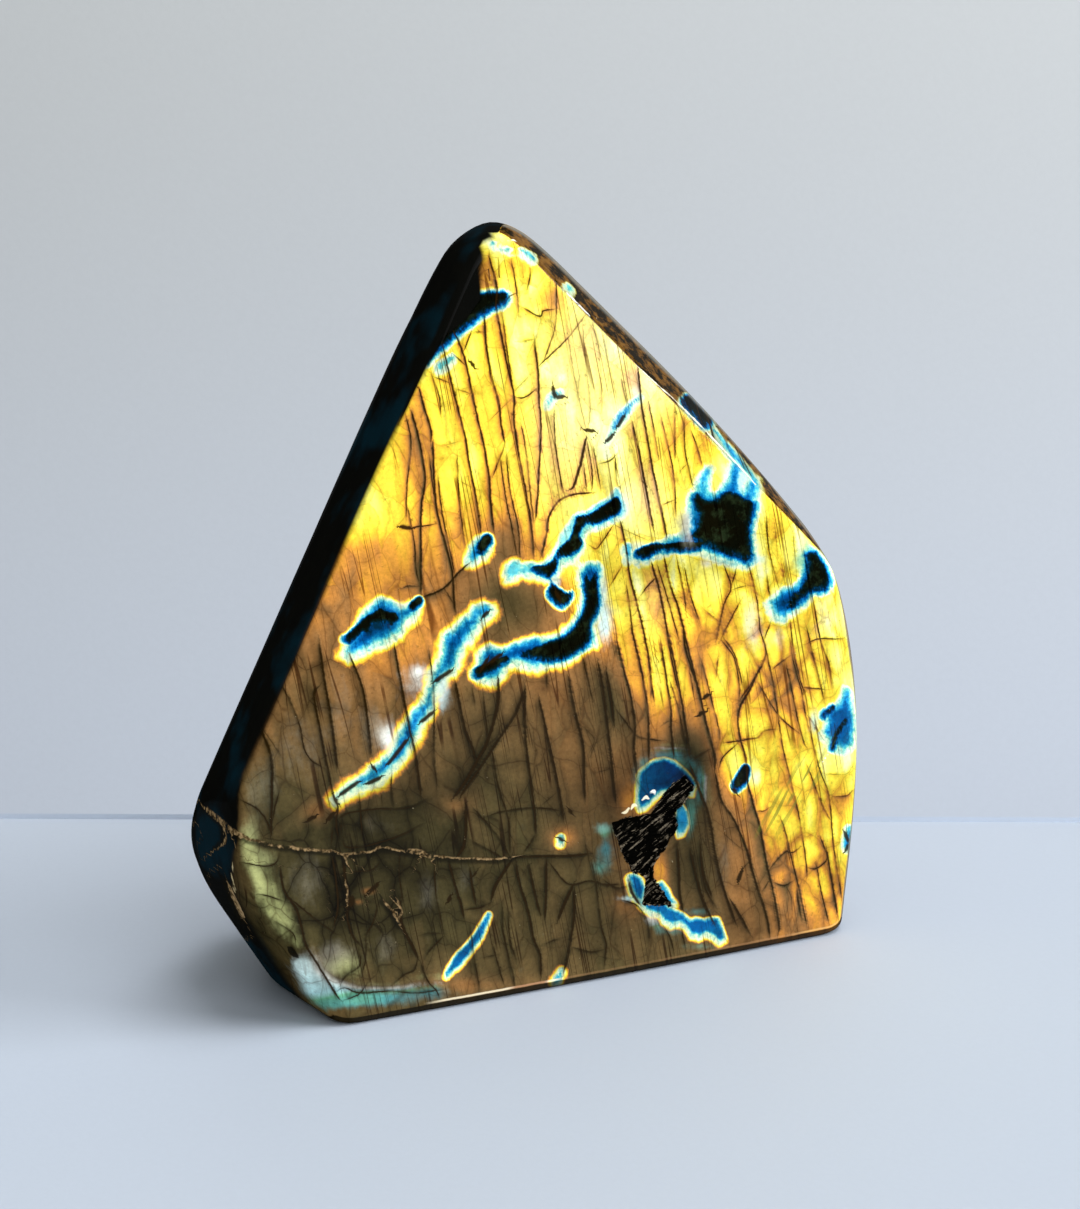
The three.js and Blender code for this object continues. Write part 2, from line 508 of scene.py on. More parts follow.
VEIN_STROKES = {
    "hook, left end": (0.0, 1.5, "478,671,3 487,667,3 497,662,3 506,658,2"),
    "river, deep blue": (0.13, 1.2, "467,622,3 463,633,5 458,642,3"),
    "river, deep blue below": (0.14, 1.2, "430,690,3 430,704,3"),
    "river, deep blue low": (0.1, 1.2, "410,729,3 408,740,4"),
    "left patch, deep blue": (0.13, 1.0, "392,626,3 380,628,4 368,634,2"),
    "spot over the river, black": (0.0, 1.7, "487,539,4 482,546,4"),
    "left patch, tip": (0.02, 2.2, "412,606,2 419,600,3"),
    "small patch": (0.2, 1.3, "548,403,3 552,397,4 561,391,2"),
    "feather": (0.25, 1.3, "606,443,1 613,430,3 621,417,5 631,405,3 641,396,2"),
    "star, tail": (0.0, 1.8, "700,544,2 685,545,3 670,546,2 655,547,3 645,551,4 638,552,2"),
    "star, tail end": (0.24, 1.0, "628,547,3 629,556,3"),
    "edge patch, black": (0.0, 1.4, "833,744,1 837,733,1.5 846,719,1"),
    "edge patch, low black": (0.0, 1.4, "824,713,0.6 833,707,1.2"),
    "low right spot": (0.0, 2.2, "746,768,3 743,776,5 738,783,4"),
    "low streak": (0.19, 2.4, "489,914,2 479,934,4 470,946,4 458,960,5 447,974,2"),
    "green spot": (0.3, 2.0, "561,837,3 561,841,3"),
    "tip wedge": (0.03, 1.1, "503,296,3 482,302,7 466,310,10 448,323,11 433,338,10 424,356,4"),
    "tip spot": (0.28, 1.0, "440,366,4 452,358,3"),
    "tip blue, left": (0.22, 1.3, "492,243,2 507,249,3"),
    "tip blue, right": (0.22, 1.3, "522,250,2 534,258,3"),
    "tip blue, low": (0.22, 1.3, "567,285,2 572,291,2"),
    "edge speck, low": (0.14, 1.2, "849,828,3 847,845,4"),
    "edge, top": (0.08, 1.2, "688,399,3 707,420,3"),
    "edge, high": (0.1, 1.2, "714,430,2 728,448,3 741,463,3 755,479,2"),
    "base notch": (0.12, 1.4, "562,970,2 557,979,3"),
}

# Where a vein is shallower than its distance from the edge says: x, y, half width, half height, and change
# in pixels
VEIN_PATCHES = [
    (660, 550, 14, 4, 2), (738, 520, 4, 14, 1),
]

# Where the flash changes from yellow to brown, from left to right, and how its phase runs on below that
# line: pixels and phase
BROWN_LINE = [
    (180, 690), (250, 640), (330, 580), (400, 566), (450, 548), (490, 500), (520, 530), (560, 580),
    (600, 640), (640, 700), (680, 706), (700, 718), (730, 790), (760, 850), (790, 880), (840, 925),
    (900, 950),
]
BROWN_STEPS = (
    [-140, -60, -25, 0, 20, 45, 110, 180, 260],
    [0.5, 0.52, 0.56, 0.64, 0.73, 0.8, 0.84, 0.89, 0.95],
)

# Local changes of the background's phase: x, y, half width, half height, change
PHASE_PATCHES = [
    (508, 530, 18, 34, 0.12), (471, 510, 12, 14, 0.08), (715, 425, 34, 30, 0.16),
    (548, 300, 18, 14, 0.18), (417, 445, 16, 44, 0.14), (700, 640, 24, 40, 0.1),
    (640, 560, 40, 30, -0.03), (700, 655, 12, 20, 0.1), (790, 690, 20, 40, 0.1),
    (745, 810, 20, 26, 0.12), (840, 800, 14, 24, 0.12), (840, 900, 20, 24, 0.1),
    (690, 760, 26, 40, 0.16), (350, 560, 26, 36, 0.1), (400, 540, 22, 24, 0.02),
    (610, 690, 26, 60, 0.16), (660, 680, 24, 30, -0.04), (470, 276, 24, 18, 0.22),
    (530, 262, 30, 14, 0.12), (583, 340, 18, 26, 0.12), (626, 376, 14, 16, 0.12),
    (562, 838, 14, 12, -0.22), (630, 800, 10, 16, -0.12), (660, 872, 8, 20, -0.2),
    (625, 905, 20, 16, -0.1), (456, 806, 16, 12, -0.12), (318, 812, 18, 12, -0.14),
    (800, 900, 34, 26, -0.06), (320, 900, 70, 50, 0.12), (400, 640, 50, 40, -0.1),
    (300, 690, 30, 40, 0.06), (470, 985, 60, 10, -0.1), (368, 891, 9, 5, -0.3), (358, 902, 6, 4, -0.3),
    (510, 605, 40, 30, 0.16), (570, 700, 50, 60, -0.02), (684, 790, 22, 50, 0.16),
    (470, 470, 34, 30, -0.08), (500, 510, 30, 20, -0.1), (375, 550, 22, 18, 0.1),
    (770, 680, 40, 50, 0.05), (684, 640, 20, 30, 0.05), (780, 860, 30, 50, 0.04),
    (700, 870, 26, 50, 0.06), (400, 860, 90, 60, 0.08), (280, 800, 50, 60, 0.08),
    (430, 440, 70, 90, 0.06), (575, 490, 30, 40, 0.05), (665, 480, 24, 30, 0.05),
]

# A painted reflection of a bright window, a soft pale veil over the flash: x, y, half width, half height,
# strength
PAINTED_REFLECTION_PATCHES = [
    (600, 335, 40, 50, 0.3), (650, 385, 30, 34, 0.3), (600, 430, 34, 40, 0.2), (560, 470, 30, 50, 0.12),
    (500, 300, 20, 16, 0.1), (560, 400, 30, 50, 0.18), (640, 500, 26, 30, 0.3), (650, 600, 20, 30, 0.1),
]

# Hazy places in the flash: x, y, half width, half height, strength and tone. The tones run from teal and
# green over the cyan of thin milk, white and grey to a pale yellow-green.
HAZE_PATCHES = [
    (389, 738, 9, 17, 0.6, 0.5), (374, 728, 16, 22, 0.45, 0.8), (414, 684, 14, 14, 0.5, 0.62),
    (420, 671, 12, 7, 0.6, 0.6), (443, 692, 7, 20, 0.85, 0.47), (362, 781, 8, 5, 0.5, 0.46),
    (604, 622, 9, 23, 0.95, 0.46), (604, 588, 4, 16, 0.6, 0.46), (556, 580, 6, 8, 0.8, 0.46),
    (627, 506, 6, 14, 0.5, 0.46), (738, 487, 5, 10, 0.9, 0.4), (686, 525, 13, 18, 0.9, 0.8),
    (746, 474, 12, 7, 0.6, 0.43), (758, 559, 9, 6, 0.7, 0.43), (707, 564, 7, 5, 0.6, 0.6),
    (710, 467, 6, 6, 0.6, 0.88), (636, 546, 9, 6, 0.6, 0.46), (800, 562, 7, 14, 0.8, 0.2),
    (808, 545, 5, 12, 0.6, 0.2), (752, 626, 10, 28, 0.55, 0.6), (780, 638, 9, 13, 0.45, 0.6),
    (825, 620, 12, 20, 0.5, 0.64), (814, 722, 5, 15, 0.6, 0.4), (756, 778, 5, 11, 0.6, 0.46),
    (603, 829, 9, 7, 0.8, 0.3), (606, 850, 9, 14, 0.7, 0.0), (600, 868, 9, 9, 0.5, 0.1),
    (651, 919, 7, 6, 0.6, 0.6), (626, 899, 10, 3, 0.6, 0.52), (248, 846, 8, 13, 0.7, 1),
    (257, 870, 10, 14, 0.9, 1), (265, 890, 10, 12, 0.9, 1), (275, 908, 12, 14, 1.0, 1),
    (287, 926, 10, 12, 0.9, 1), (296, 942, 7, 8, 0.6, 1), (266, 858, 14, 10, 0.4, 0.94),
    (306, 971, 10, 12, 0.95, 0.47), (316, 983, 12, 9, 0.95, 0.43), (336, 990, 14, 7, 0.9, 0.4),
    (330, 960, 10, 16, 0.5, 0.76), (360, 999, 18, 5, 0.5, 0.4), (345, 968, 22, 12, 0.5, 1),
    (380, 986, 34, 5, 0.35, 1), (430, 977, 24, 6, 0.3, 1), (493, 294, 8, 6, 0.6, 0.46),
    (636, 393, 6, 8, 0.6, 0.46), (562, 378, 8, 8, 0.5, 0.6), (724, 862, 10, 32, 0.4, 0.8),
    (400, 606, 9, 5, 0.6, 0.7), (490, 650, 7, 6, 0.6, 0.43), (340, 705, 16, 34, 0.35, 0.8),
    (309, 879, 18, 24, 0.5, 0.8), (340, 953, 17, 13, 0.65, 0.8), (386, 947, 12, 18, 0.55, 0.8),
    (427, 894, 10, 22, 0.5, 0.8), (374, 826, 22, 12, 0.4, 0.8), (252, 830, 10, 14, 0.5, 0.94),
    (300, 745, 30, 40, 0.35, 0.8), (260, 790, 18, 30, 0.4, 0.82), (466, 880, 12, 20, 0.35, 0.8),
    (668, 746, 22, 3, 0.4, 1), (708, 790, 4, 18, 0.4, 1), (676, 770, 12, 8, 0.5, 0.4),
    (621, 417, 8, 14, 0.4, 0.46), (552, 398, 8, 8, 0.4, 0.46), (380, 998, 36, 8, 0.8, 0.0),
    (430, 992, 20, 7, 0.6, 0.0), (345, 1000, 24, 6, 0.7, 0.0), (320, 990, 14, 9, 0.8, 0.42),
    (638, 778, 7, 12, 0.7, 0.05), (645, 763, 8, 7, 0.6, 0.05), (660, 755, 10, 6, 0.6, 0.0),
    (676, 756, 9, 6, 0.6, 0.0), (690, 764, 8, 7, 0.6, 0.0), (699, 778, 6, 9, 0.6, 0.0),
    (700, 794, 5, 10, 0.6, 0.05), (300, 965, 8, 8, 0.8, 0.5), (690, 816, 6, 20, 0.8, 0.1),
    (668, 930, 20, 6, 0.5, 0.05), (700, 946, 20, 5, 0.4, 0.1), (700, 912, 16, 5, 0.5, 0.05),
    (632, 888, 7, 12, 0.6, 0.1), (330, 1004, 16, 6, 0.6, 0.1), (696, 524, 8, 14, 0.5, 0.4),
    (745, 476, 10, 6, 0.5, 0.4),
]

# How bright the flash is: x, y, half width, half height, change
GLOW_PATCHES = [
    (300, 740, 70, 80, -0.05), (380, 850, 80, 50, -0.4), (250, 800, 30, 60, -0.05),
    (400, 800, 60, 30, -0.25), (470, 760, 24, 50, -0.2), (720, 860, 30, 60, -0.15),
    (440, 850, 80, 14, -0.2), (692, 860, 22, 50, -0.25), (405, 945, 40, 30, -0.15),
    (790, 840, 30, 60, -0.1), (350, 900, 50, 30, -0.25), (600, 810, 30, 40, -0.15),
    (540, 860, 60, 20, -0.1), (770, 660, 60, 80, -0.12), (686, 790, 22, 50, -0.3),
    (630, 850, 40, 60, -0.25), (664, 775, 44, 30, -0.4), (700, 570, 60, 14, -0.2),
    (480, 935, 26, 36, -0.15), (345, 905, 20, 30, -0.2), (420, 900, 30, 40, -0.2),
    (500, 740, 20, 40, -0.1), (460, 640, 30, 30, -0.1), (600, 930, 60, 30, -0.1),
    (510, 600, 40, 30, -0.2), (560, 780, 30, 50, -0.15), (450, 740, 40, 40, -0.15),
    (330, 830, 60, 24, -0.2), (700, 720, 14, 40, -0.15), (684, 820, 30, 60, -0.15),
    (590, 900, 50, 60, -0.15), (770, 540, 40, 30, -0.15), (684, 548, 30, 16, -0.15),
    (398, 572, 30, 26, -0.25), (618, 570, 30, 30, -0.2), (662, 570, 30, 26, -0.2),
    (706, 570, 30, 26, -0.12), (618, 790, 24, 26, -0.4), (574, 800, 30, 40, -0.2),
    (706, 746, 22, 26, -0.25), (618, 834, 20, 24, -0.3), (430, 790, 40, 24, -0.2),
    (750, 922, 22, 20, -0.3), (618, 922, 24, 22, -0.2), (838, 790, 20, 26, -0.3),
    (794, 834, 34, 30, -0.2), (770, 746, 40, 26, -0.2), (838, 658, 20, 26, -0.2),
    (838, 878, 20, 26, -0.25), (618, 570, 30, 30, -0.15), (730, 540, 30, 24, -0.1),
    (574, 702, 30, 30, -0.22), (478, 262, 24, 26, -0.35), (610, 612, 30, 20, -0.1),
    (640, 740, 30, 30, -0.2),
]

# Where the stone breaks up into rounded pillows: x, y, half width, half height, strength
PILLOW_PATCHES = [
    (770, 650, 80, 80, 1.0), (800, 850, 60, 90, 0.9), (715, 590, 50, 30, 0.8), (705, 425, 30, 30, 0.7),
    (640, 580, 30, 40, 0.5), (350, 890, 110, 80, 0.9), (300, 660, 70, 70, 0.5),
    (500, 760, 60, 80, 0.35),
]

# Thin lines on chips, scratches and edges: those along the bevel's crease and at the tip are painted
# highlights, the others flecks, scratches and black notches of the stone. The tone, from white over tan to
# black, and the run as x, y and half width
GLINTS = """
0.2 636,365,0.3 660,387,0.4 676,401,0.3 700,425,0.4 720,446,0.5 740,467,0.5 756,485,0.3
0.4 622,813,0.6 626,812,1.6 629,808,0.5
0.3 631,810,0.4 634,805,1.5 637,806,0.4
0.2 642,800,0.5 646,797,1.5 649,799,0.5
0.1 650,793,0.5 654,791,1.6 655,795,0.5
0.0 820,766,0.3 826,757,0.6 830,751,0.3
0.7 233,862,0.4 232,878,0.9 236,893,0.7
0.9 229,885,0.8 235,900,1.6 243,917,2.0
0.0 477,262,0.4 492,276,0.4
0.2 500,246,0.3 512,240,0.8 526,244,0.4
0.1 566,292,0.2 578,304,0.5 590,316,0.3
1.0 597,318,1.0 603,321,2.4 606,319,1.0
1.0 288,946,1.0 292,952,3.6 297,957,1.5
"""

# How bright the painted highlight on the rounded edge over the base is along the photograph, and how golden
BASE_LIGHT = (
    [425, 446, 508, 516, 545, 549, 557, 562, 640, 790, 806, 836, 842],
    [0, 0.8, 0.8, 0.5, 0.5, 0.8, 0.8, 0.15, 0.08, 0.2, 0.7, 0.7, 0],
    [0, 0.1, 0.1, 0.5, 0.5, 0, 0, 0.6, 0.6, 0.6, 0.8, 0.8, 0.8],
)

# The inner edge of the dark left side in the photograph, and how soft the flash dies out there
LEFT_EDGE = [
    (482, 225, 4), (479, 300, 4), (465, 320, 3), (441, 340, 3), (420, 380, 3), (390, 440, 3),
    (361, 500, 4), (340, 540, 4), (324, 580, 4), (308, 618, 5), (285, 660, 5), (259, 720, 5),
    (238, 762, 6), (236, 820, 8), (229, 860, 14), (228, 890, 22), (242, 920, 26), (258, 945, 28),
    (272, 968, 28), (296, 1000, 20), (304, 1030, 14),
]

# The colours of the flash, from where it dies out in a vein, through blue, white, yellow and orange, to the
# grey-brown of the body, then the haze's, the thin lines', some of them painted highlights, those of the
# painted highlight over the base and the bevel's: place and colour
FLASH_COLOURS = [
    (0.0, (8, 10, 4)), (0.05, (4, 22, 22)), (0.09, (3, 38, 62)), (0.13, (2, 62, 122)),
    (0.19, (6, 100, 166)), (0.25, (32, 150, 202)), (0.31, (92, 196, 204)), (0.37, (182, 232, 208)),
    (0.43, (242, 250, 196)), (0.5, (254, 246, 116)), (0.57, (250, 228, 70)), (0.64, (242, 198, 56)),
    (0.71, (224, 156, 56)), (0.77, (190, 126, 58)), (0.83, (146, 103, 58)), (0.89, (112, 86, 51)),
    (0.95, (90, 74, 44)), (1.0, (72, 64, 37)),
]
HAZE_TONES = [
    (0.0, (72, 142, 148)), (0.2, (110, 182, 146)), (0.4, (178, 224, 226)), (0.6, (238, 240, 230)),
    (0.8, (128, 122, 104)), (1.0, (190, 194, 128)),
]
GLINT_TONES = [
    (0.0, (250, 250, 246)), (0.3, (242, 232, 196)), (0.7, (190, 172, 130)), (0.9, (176, 148, 108)),
    (1.0, (8, 7, 5)),
]
BASE_TONES = [(0.0, (250, 240, 206)), (0.5, (214, 158, 120)), (1.0, (232, 186, 92))]
BEVEL_TONES = [(0.0, (12, 9, 4)), (0.46, (24, 18, 6)), (0.56, (92, 62, 22)), (1.0, (150, 110, 46))]

# The single colours, and the cast by which the blues lean to green
COLOURS = {
    "murk": (34, 46, 26),
    "veil": (250, 244, 214),
    "hairline": (104, 60, 14),
    "crack": (34, 22, 5),
    "speck": (206, 190, 150),
    "scratch": (104, 112, 40),
    # The rim's colour is a painted reflection of the pale room
    "rim": (108, 107, 98),
    "painted shade under the edge": (17, 14, 7),
    "body": (12, 12, 9),
    "teal body": (6, 34, 44),
    "beside the healed crack": (16, 13, 5),
    "healed crack, dark": (58, 42, 20),
    "healed crack, tan": (160, 132, 92),
    "pocket": (4, 4, 3),
    "lit ridge": (112, 102, 86),
}
GREEN_CAST = (1.5, 1.02, 0.74, 1)

# How the phase of a bright and of a dark vein runs with the distance from its outline, in pixels, negative
# inside, and the phase under which a vein counts as dark
BRIGHT_RUN = (
    [-14, -10, -7, -5, -3, -1.5, 0, 1.5, 3, 4.5, 6.5, 9, 16],
    [0.07, 0.11, 0.15, 0.2, 0.26, 0.31, 0.36, 0.41, 0.47, 0.56, 0.72, 0.92, 1.4],
)
DARK_RUN = (
    [-3, -1, 1, 2.6, 4.2, 6, 8, 10, 13, 18],
    [0.0, 0.03, 0.09, 0.18, 0.27, 0.36, 0.47, 0.66, 0.9, 1.4],
)
DARK_VEIN = 0.1

# How far the cleavage leans to the left, in degrees
LEAN = -9

# The phases of the background between which the yellow ends
YELLOW_END = (0.68, 0.84)

# The cells of stone, long ones and round ones: how far they bend, their stretch, their number and the width
# of the crack round each
CELL_KINDS = ((0.0016, 4.6, 300, 0.04), (0.004, 1.4, 165, 0.024))

# The channels of the cracks, three to a letter, how far a crack and the shade beside it reach, in pixels,
# and how strong each kind of crack is
CHANNEL_LETTERS = "abc"
CRACK_CHANNELS = 9
CRACK_REACH = 7.0
SHADE_REACH = 22
CRACK_STRENGTH = {"X": 1.7, "S": 1.0, "M": 0.62, "F": 0.34, "B": 2.6}

# The distance, in pixels, that stands for nowhere near a crack, a vein or a thin line
CRACK_OUT = 12.0
VEIN_OUT = 40.0
LINE_OUT = 20.0

# The cracks of the back, drawn afresh in millimetres that are stretched to the photograph's pixels
BACK_CRACKS = 60
PX_PER_MM = 5.3

# Where the healed crack ends on the right, in pixels, and how far back, in metres, the front's lines may run
HEALED_END = 560
FRONT_HALF = 0.005

# The middle of the fine green scratches, and how far they reach along and across their run, in pixels
SCRATCHES = {"x": 795, "y": 790, "long": 56, "wide": 16}

# What is written on the stone's points for its finish, up to three values to an attribute
FIELDS = {
    "flash": ("background", "glow", "veil"),
    "veins": ("bright_far", "bright_core", "dark_far"),
    "haze": ("haze", "tone", "shade"),
    "zones": ("pocket", "bevel", "left"),
    "base_edge": ("base", "base_light", "base_gold"),
    "rim": ("right", "dull_left"),
    "healed": ("healed_far", "healed_mark", "scratch_zone"),
    "glints": ("glint_far", "glint_tone", "pillowed"),
}

# The stage, seen from the camera's side: how far the table reaches to the left, right, front and back of the
# stone, and where the wall stands, in metres
TABLE_REACH = {"left": -0.22, "right": 0.6, "front": -0.34, "back_left": 0.059, "back_right": 0.0512}
WALL = {"left": -0.4, "right": 1.2, "away": 0.8, "low": -0.5, "high": 1.0}

# The table's painted shade: its brightness on the right as a share of that on the left. The height, in
# metres, of the strip standing along its back, which stands in for the shade there, and its brightness as a
# share of the table's. The wall's painted shade: the shares of red, green and blue left at its top
TABLE_RIGHT_PAINTED_SHADE = 0.89
SHADOW_STRIP_HIGH = 0.0011
SHADOW_STRIP_SHARE = 1.5
WALL_TOP_PAINTED_SHADE = (0.825, 0.787, 0.698)

# The lamps: place and aim on the stage, size in metres, and colour
LAMPS = {
    "window": ((1.5, -0.18, 0.9), (0, 0, 0.05), 0.9, (0.96, 0.98, 1)),
    "fill": ((0.7, -1.1, 0.9), (0, 0, 0.02), 0.9, (0.95, 0.97, 1)),
    "wall_wash": ((0.35, 0, 1.5), (0, 0.8, 0), 0.8, (0.99, 0.99, 1)),
}


class LabradoriteStone(bpy.types.PropertyGroup):
    columns: bpy.props.IntProperty(
        name="Columns", description="Half the faces across the stone", default=54, min=8, max=100
    )
    rows: bpy.props.IntProperty(
        name="Rows", description="Half the faces up the stone", default=58, min=8, max=100
    )
    rim: bpy.props.IntProperty(
        name="Rim", description="Faces from front to back", default=28, min=4, max=60
    )
    polish: bpy.props.FloatProperty(
        name="Polish", description="Roughness of the polished skin",
        default=0.04, subtype="FACTOR", min=0, max=1,
    )
    body_roughness: bpy.props.FloatProperty(
        name="Body roughness", description="Roughness under the polish",
        default=0.34, subtype="FACTOR", min=0, max=1,
    )
    # Strength of a painted glow: the finished colour is also given out as emission, so the stone glows
    # though it is no lamp
    glow: bpy.props.FloatProperty(
        name="Flash glow", description="How much of the flash comes back from inside the stone",
        default=0.3, min=0, max=2,
    )
    body_colour: bpy.props.FloatVectorProperty(
        name="Body colour", description="Colour of the stone where it has no flash",
        default=(0.002, 0.0022, 0.002), subtype="COLOR", min=0, max=1,
    )
    seed: bpy.props.IntProperty(
        name="Seed", description="Start of the random draws for the back", default=7, min=0
    )


class LabradoriteStage(bpy.types.PropertyGroup):
    floor_colour: bpy.props.FloatVectorProperty(
        name="Floor colour", description="Colour of the table top",
        default=(0.48, 0.535, 0.62), subtype="COLOR", min=0, max=1,
    )
    wall_colour: bpy.props.FloatVectorProperty(
        name="Wall colour", description="Colour of the wall",
        default=(0.766, 0.836, 0.979), subtype="COLOR", min=0, max=1,
    )
    key_power: bpy.props.FloatProperty(
        name="Key light", description="Power of the large light on the right, in watts", default=22.5, min=0
    )
    fill_power: bpy.props.FloatProperty(
        name="Fill light", description="Power of the light from the front, in watts", default=7, min=0
    )
    wash_power: bpy.props.FloatProperty(
        name="Wall light", description="Power of the light on the wall, in watts", default=15, min=0
    )
    sky: bpy.props.FloatProperty(
        name="Sky", description="Strength of the even light all round", default=0.34, min=0
    )


def facing(around, turned):
    """The outward direction of a facet."""
    a, t = math.radians(around), math.radians(turned)
    return np.array([math.cos(t) * math.cos(a), -math.sin(t), math.cos(t) * math.sin(a)])


def outside_facet(points, facet):
    """How far points, measured from the heart, stand outside one facet."""
    around, turned, reach, _, belly = facet
    height = points @ facing(around, turned)
    sag = ((points**2).sum(1) - height * height) / (2 * belly) if belly else 0
    return height - reach + sag


def outside_stone(points):
    """How far points, measured from the heart, stand outside the whole stone, with its edges rounded."""
    most = None
    for facet in FACETS.values():
        here = outside_facet(points, facet)
        if most is None:
            most = here
            continue
        soft = facet[3]
        overlap = np.maximum(soft - np.abs(most - here), 0) / soft
        most = np.maximum(most, here) + overlap * overlap * soft / 4
    return most


def lead(points, names):
    """By how much the highest of some facets stands out past all the others, in millimetres."""
    named, others = [], []
    for name, facet in FACETS.items():
        (named if name in names else others).append(outside_facet(points, facet))
    return np.max(named, axis=0) - np.max(others, axis=0)


def leave_stone(starts, ways, span=140, halvings=32):
    """Where rays from points inside the stone leave it."""
    near, far = np.zeros(len(starts)), np.full(len(starts), float(span))
    for _ in range(halvings):
        middle = (near + far) / 2
        out = outside_stone(starts + ways * middle[:, None]) > 0
        far = np.where(out, middle, far)
        near = np.where(out, near, middle)
    return starts + ways * near[:, None]


def smooth_step(low, high, value):
    t = np.clip((value - low) / (high - low), 0, 1)
    return t * t * (3 - 2 * t)


def segment_distances(points, start, end):
    """Distance and side of points from one straight piece, and how far along it each lies, from 0 to 1."""
    run = end - start
    share = np.clip(((points - start) @ run) / max(run @ run, 1e-9), 0, 1)
    off = points - start - share[:, None] * run
    side = run[0] * off[:, 1] - run[1] * off[:, 0]
    return np.sqrt((off**2).sum(1)), np.where(side > 0, -1.0, 1.0), share


def polygon_distance(points, corners):
    """Signed distance to a closed outline, negative inside."""
    corners = np.array(corners, float)
    best = np.full(len(points), 1e9)
    inside = np.zeros(len(points), bool)
    for start, end in zip(corners, np.roll(corners, -1, axis=0)):
        best = np.minimum(best, segment_distances(points, start, end)[0])
        crosses = (start[1] > points[:, 1]) != (end[1] > points[:, 1])
        rise = end[1] - start[1] if end[1] != start[1] else 1e-9
        meet = start[0] + (points[:, 1] - start[1]) * (end[0] - start[0]) / rise
        inside ^= crosses & (points[:, 0] < meet)
    return np.where(inside, -best, best)


def rounded(points, steps=4):
    """A smooth run through points, as a hand would draw it."""
    points = np.array(points, float)
    if len(points) < 3:
        return points
    ends = np.vstack([2 * points[0] - points[1], points, 2 * points[-1] - points[-2]])
    run = []
    for i in range(1, len(ends) - 2):
        a, b, c, d = ends[i - 1 : i + 3]
        for t in np.arange(steps) / steps:
            bends = (2 * a - 5 * b + 4 * c - d) * t**2 + (3 * b - a - 3 * c + d) * t**3
            run.append(0.5 * (2 * b + (c - a) * t + bends))
    return np.array(run + [points[-1]])


def read_points(text):
    return [tuple(float(v) for v in word.split(",")) for word in text.split()]


def read_runs(text):
    """The runs of a table: its first word and its points, one run in each line."""
    for line in text.strip().splitlines():
        first, rest = line.split(maxsplit=1)
        yield first, read_points(rest)


def to_photo(points):
    """Where points of the stone, in metres, show in the photograph, in its pixels."""
    down, turn = math.radians(CAMERA_DOWN), math.radians(CAMERA_TURN)
    level = np.array([math.sin(turn), math.cos(turn), 0])
    ahead = level * math.cos(down) - np.array([0, 0, math.sin(down)])
    right = np.array([math.cos(turn), -math.sin(turn), 0])
    up = np.cross(right, ahead)
    away = points - np.array(CAMERA_PLACE)
    depth = away @ ahead
    across = FRAME_PX[0] / 2 + FOCAL_PX * (away @ right) / depth
    return np.stack([across, FRAME_PX[1] / 2 - FOCAL_PX * (away @ up) / depth], axis=1)


def patch_reach(spots, x, y, wide, high):
    """How strongly a soft patch covers every spot, from 0 to 1."""
    return np.exp(-(((spots[:, 0] - x) / wide) ** 2) - ((spots[:, 1] - y) / high) ** 2)


def hazy_patches(spots, patches):
    """How strong the haze is at every spot, and its tone, from the patches that reach it."""
    amount, toned = np.zeros(len(spots)), np.zeros(len(spots))
    for x, y, wide, high, strength, tone in patches:
        here = strength * patch_reach(spots, x, y, wide, high)
        amount, toned = amount + here, toned + here * tone
    return np.clip(amount, 0, 1), toned / np.maximum(amount, 1e-6)


def add_patches(value, spots, patches):
    for x, y, wide, high, change in patches:
        value = value + change * patch_reach(spots, x, y, wide, high)
    return value


def all_patches(spots, patches):
    """How strongly a whole set of patches covers every spot, from 0 to 1."""
    return np.clip(add_patches(np.zeros(len(spots)), spots, patches), 0, 1)


def stroke_distance(spots, run):
    """Signed distance to the outline of a stroke, whose points carry its half width."""
    best = np.full(len(spots), 1e9)
    for start, end in zip(run[:-1], run[1:]):
        distance, _, share = segment_distances(spots, start[:2], end[:2])
        best = np.minimum(best, distance - (start[2] + share * (end[2] - start[2])))
    return best


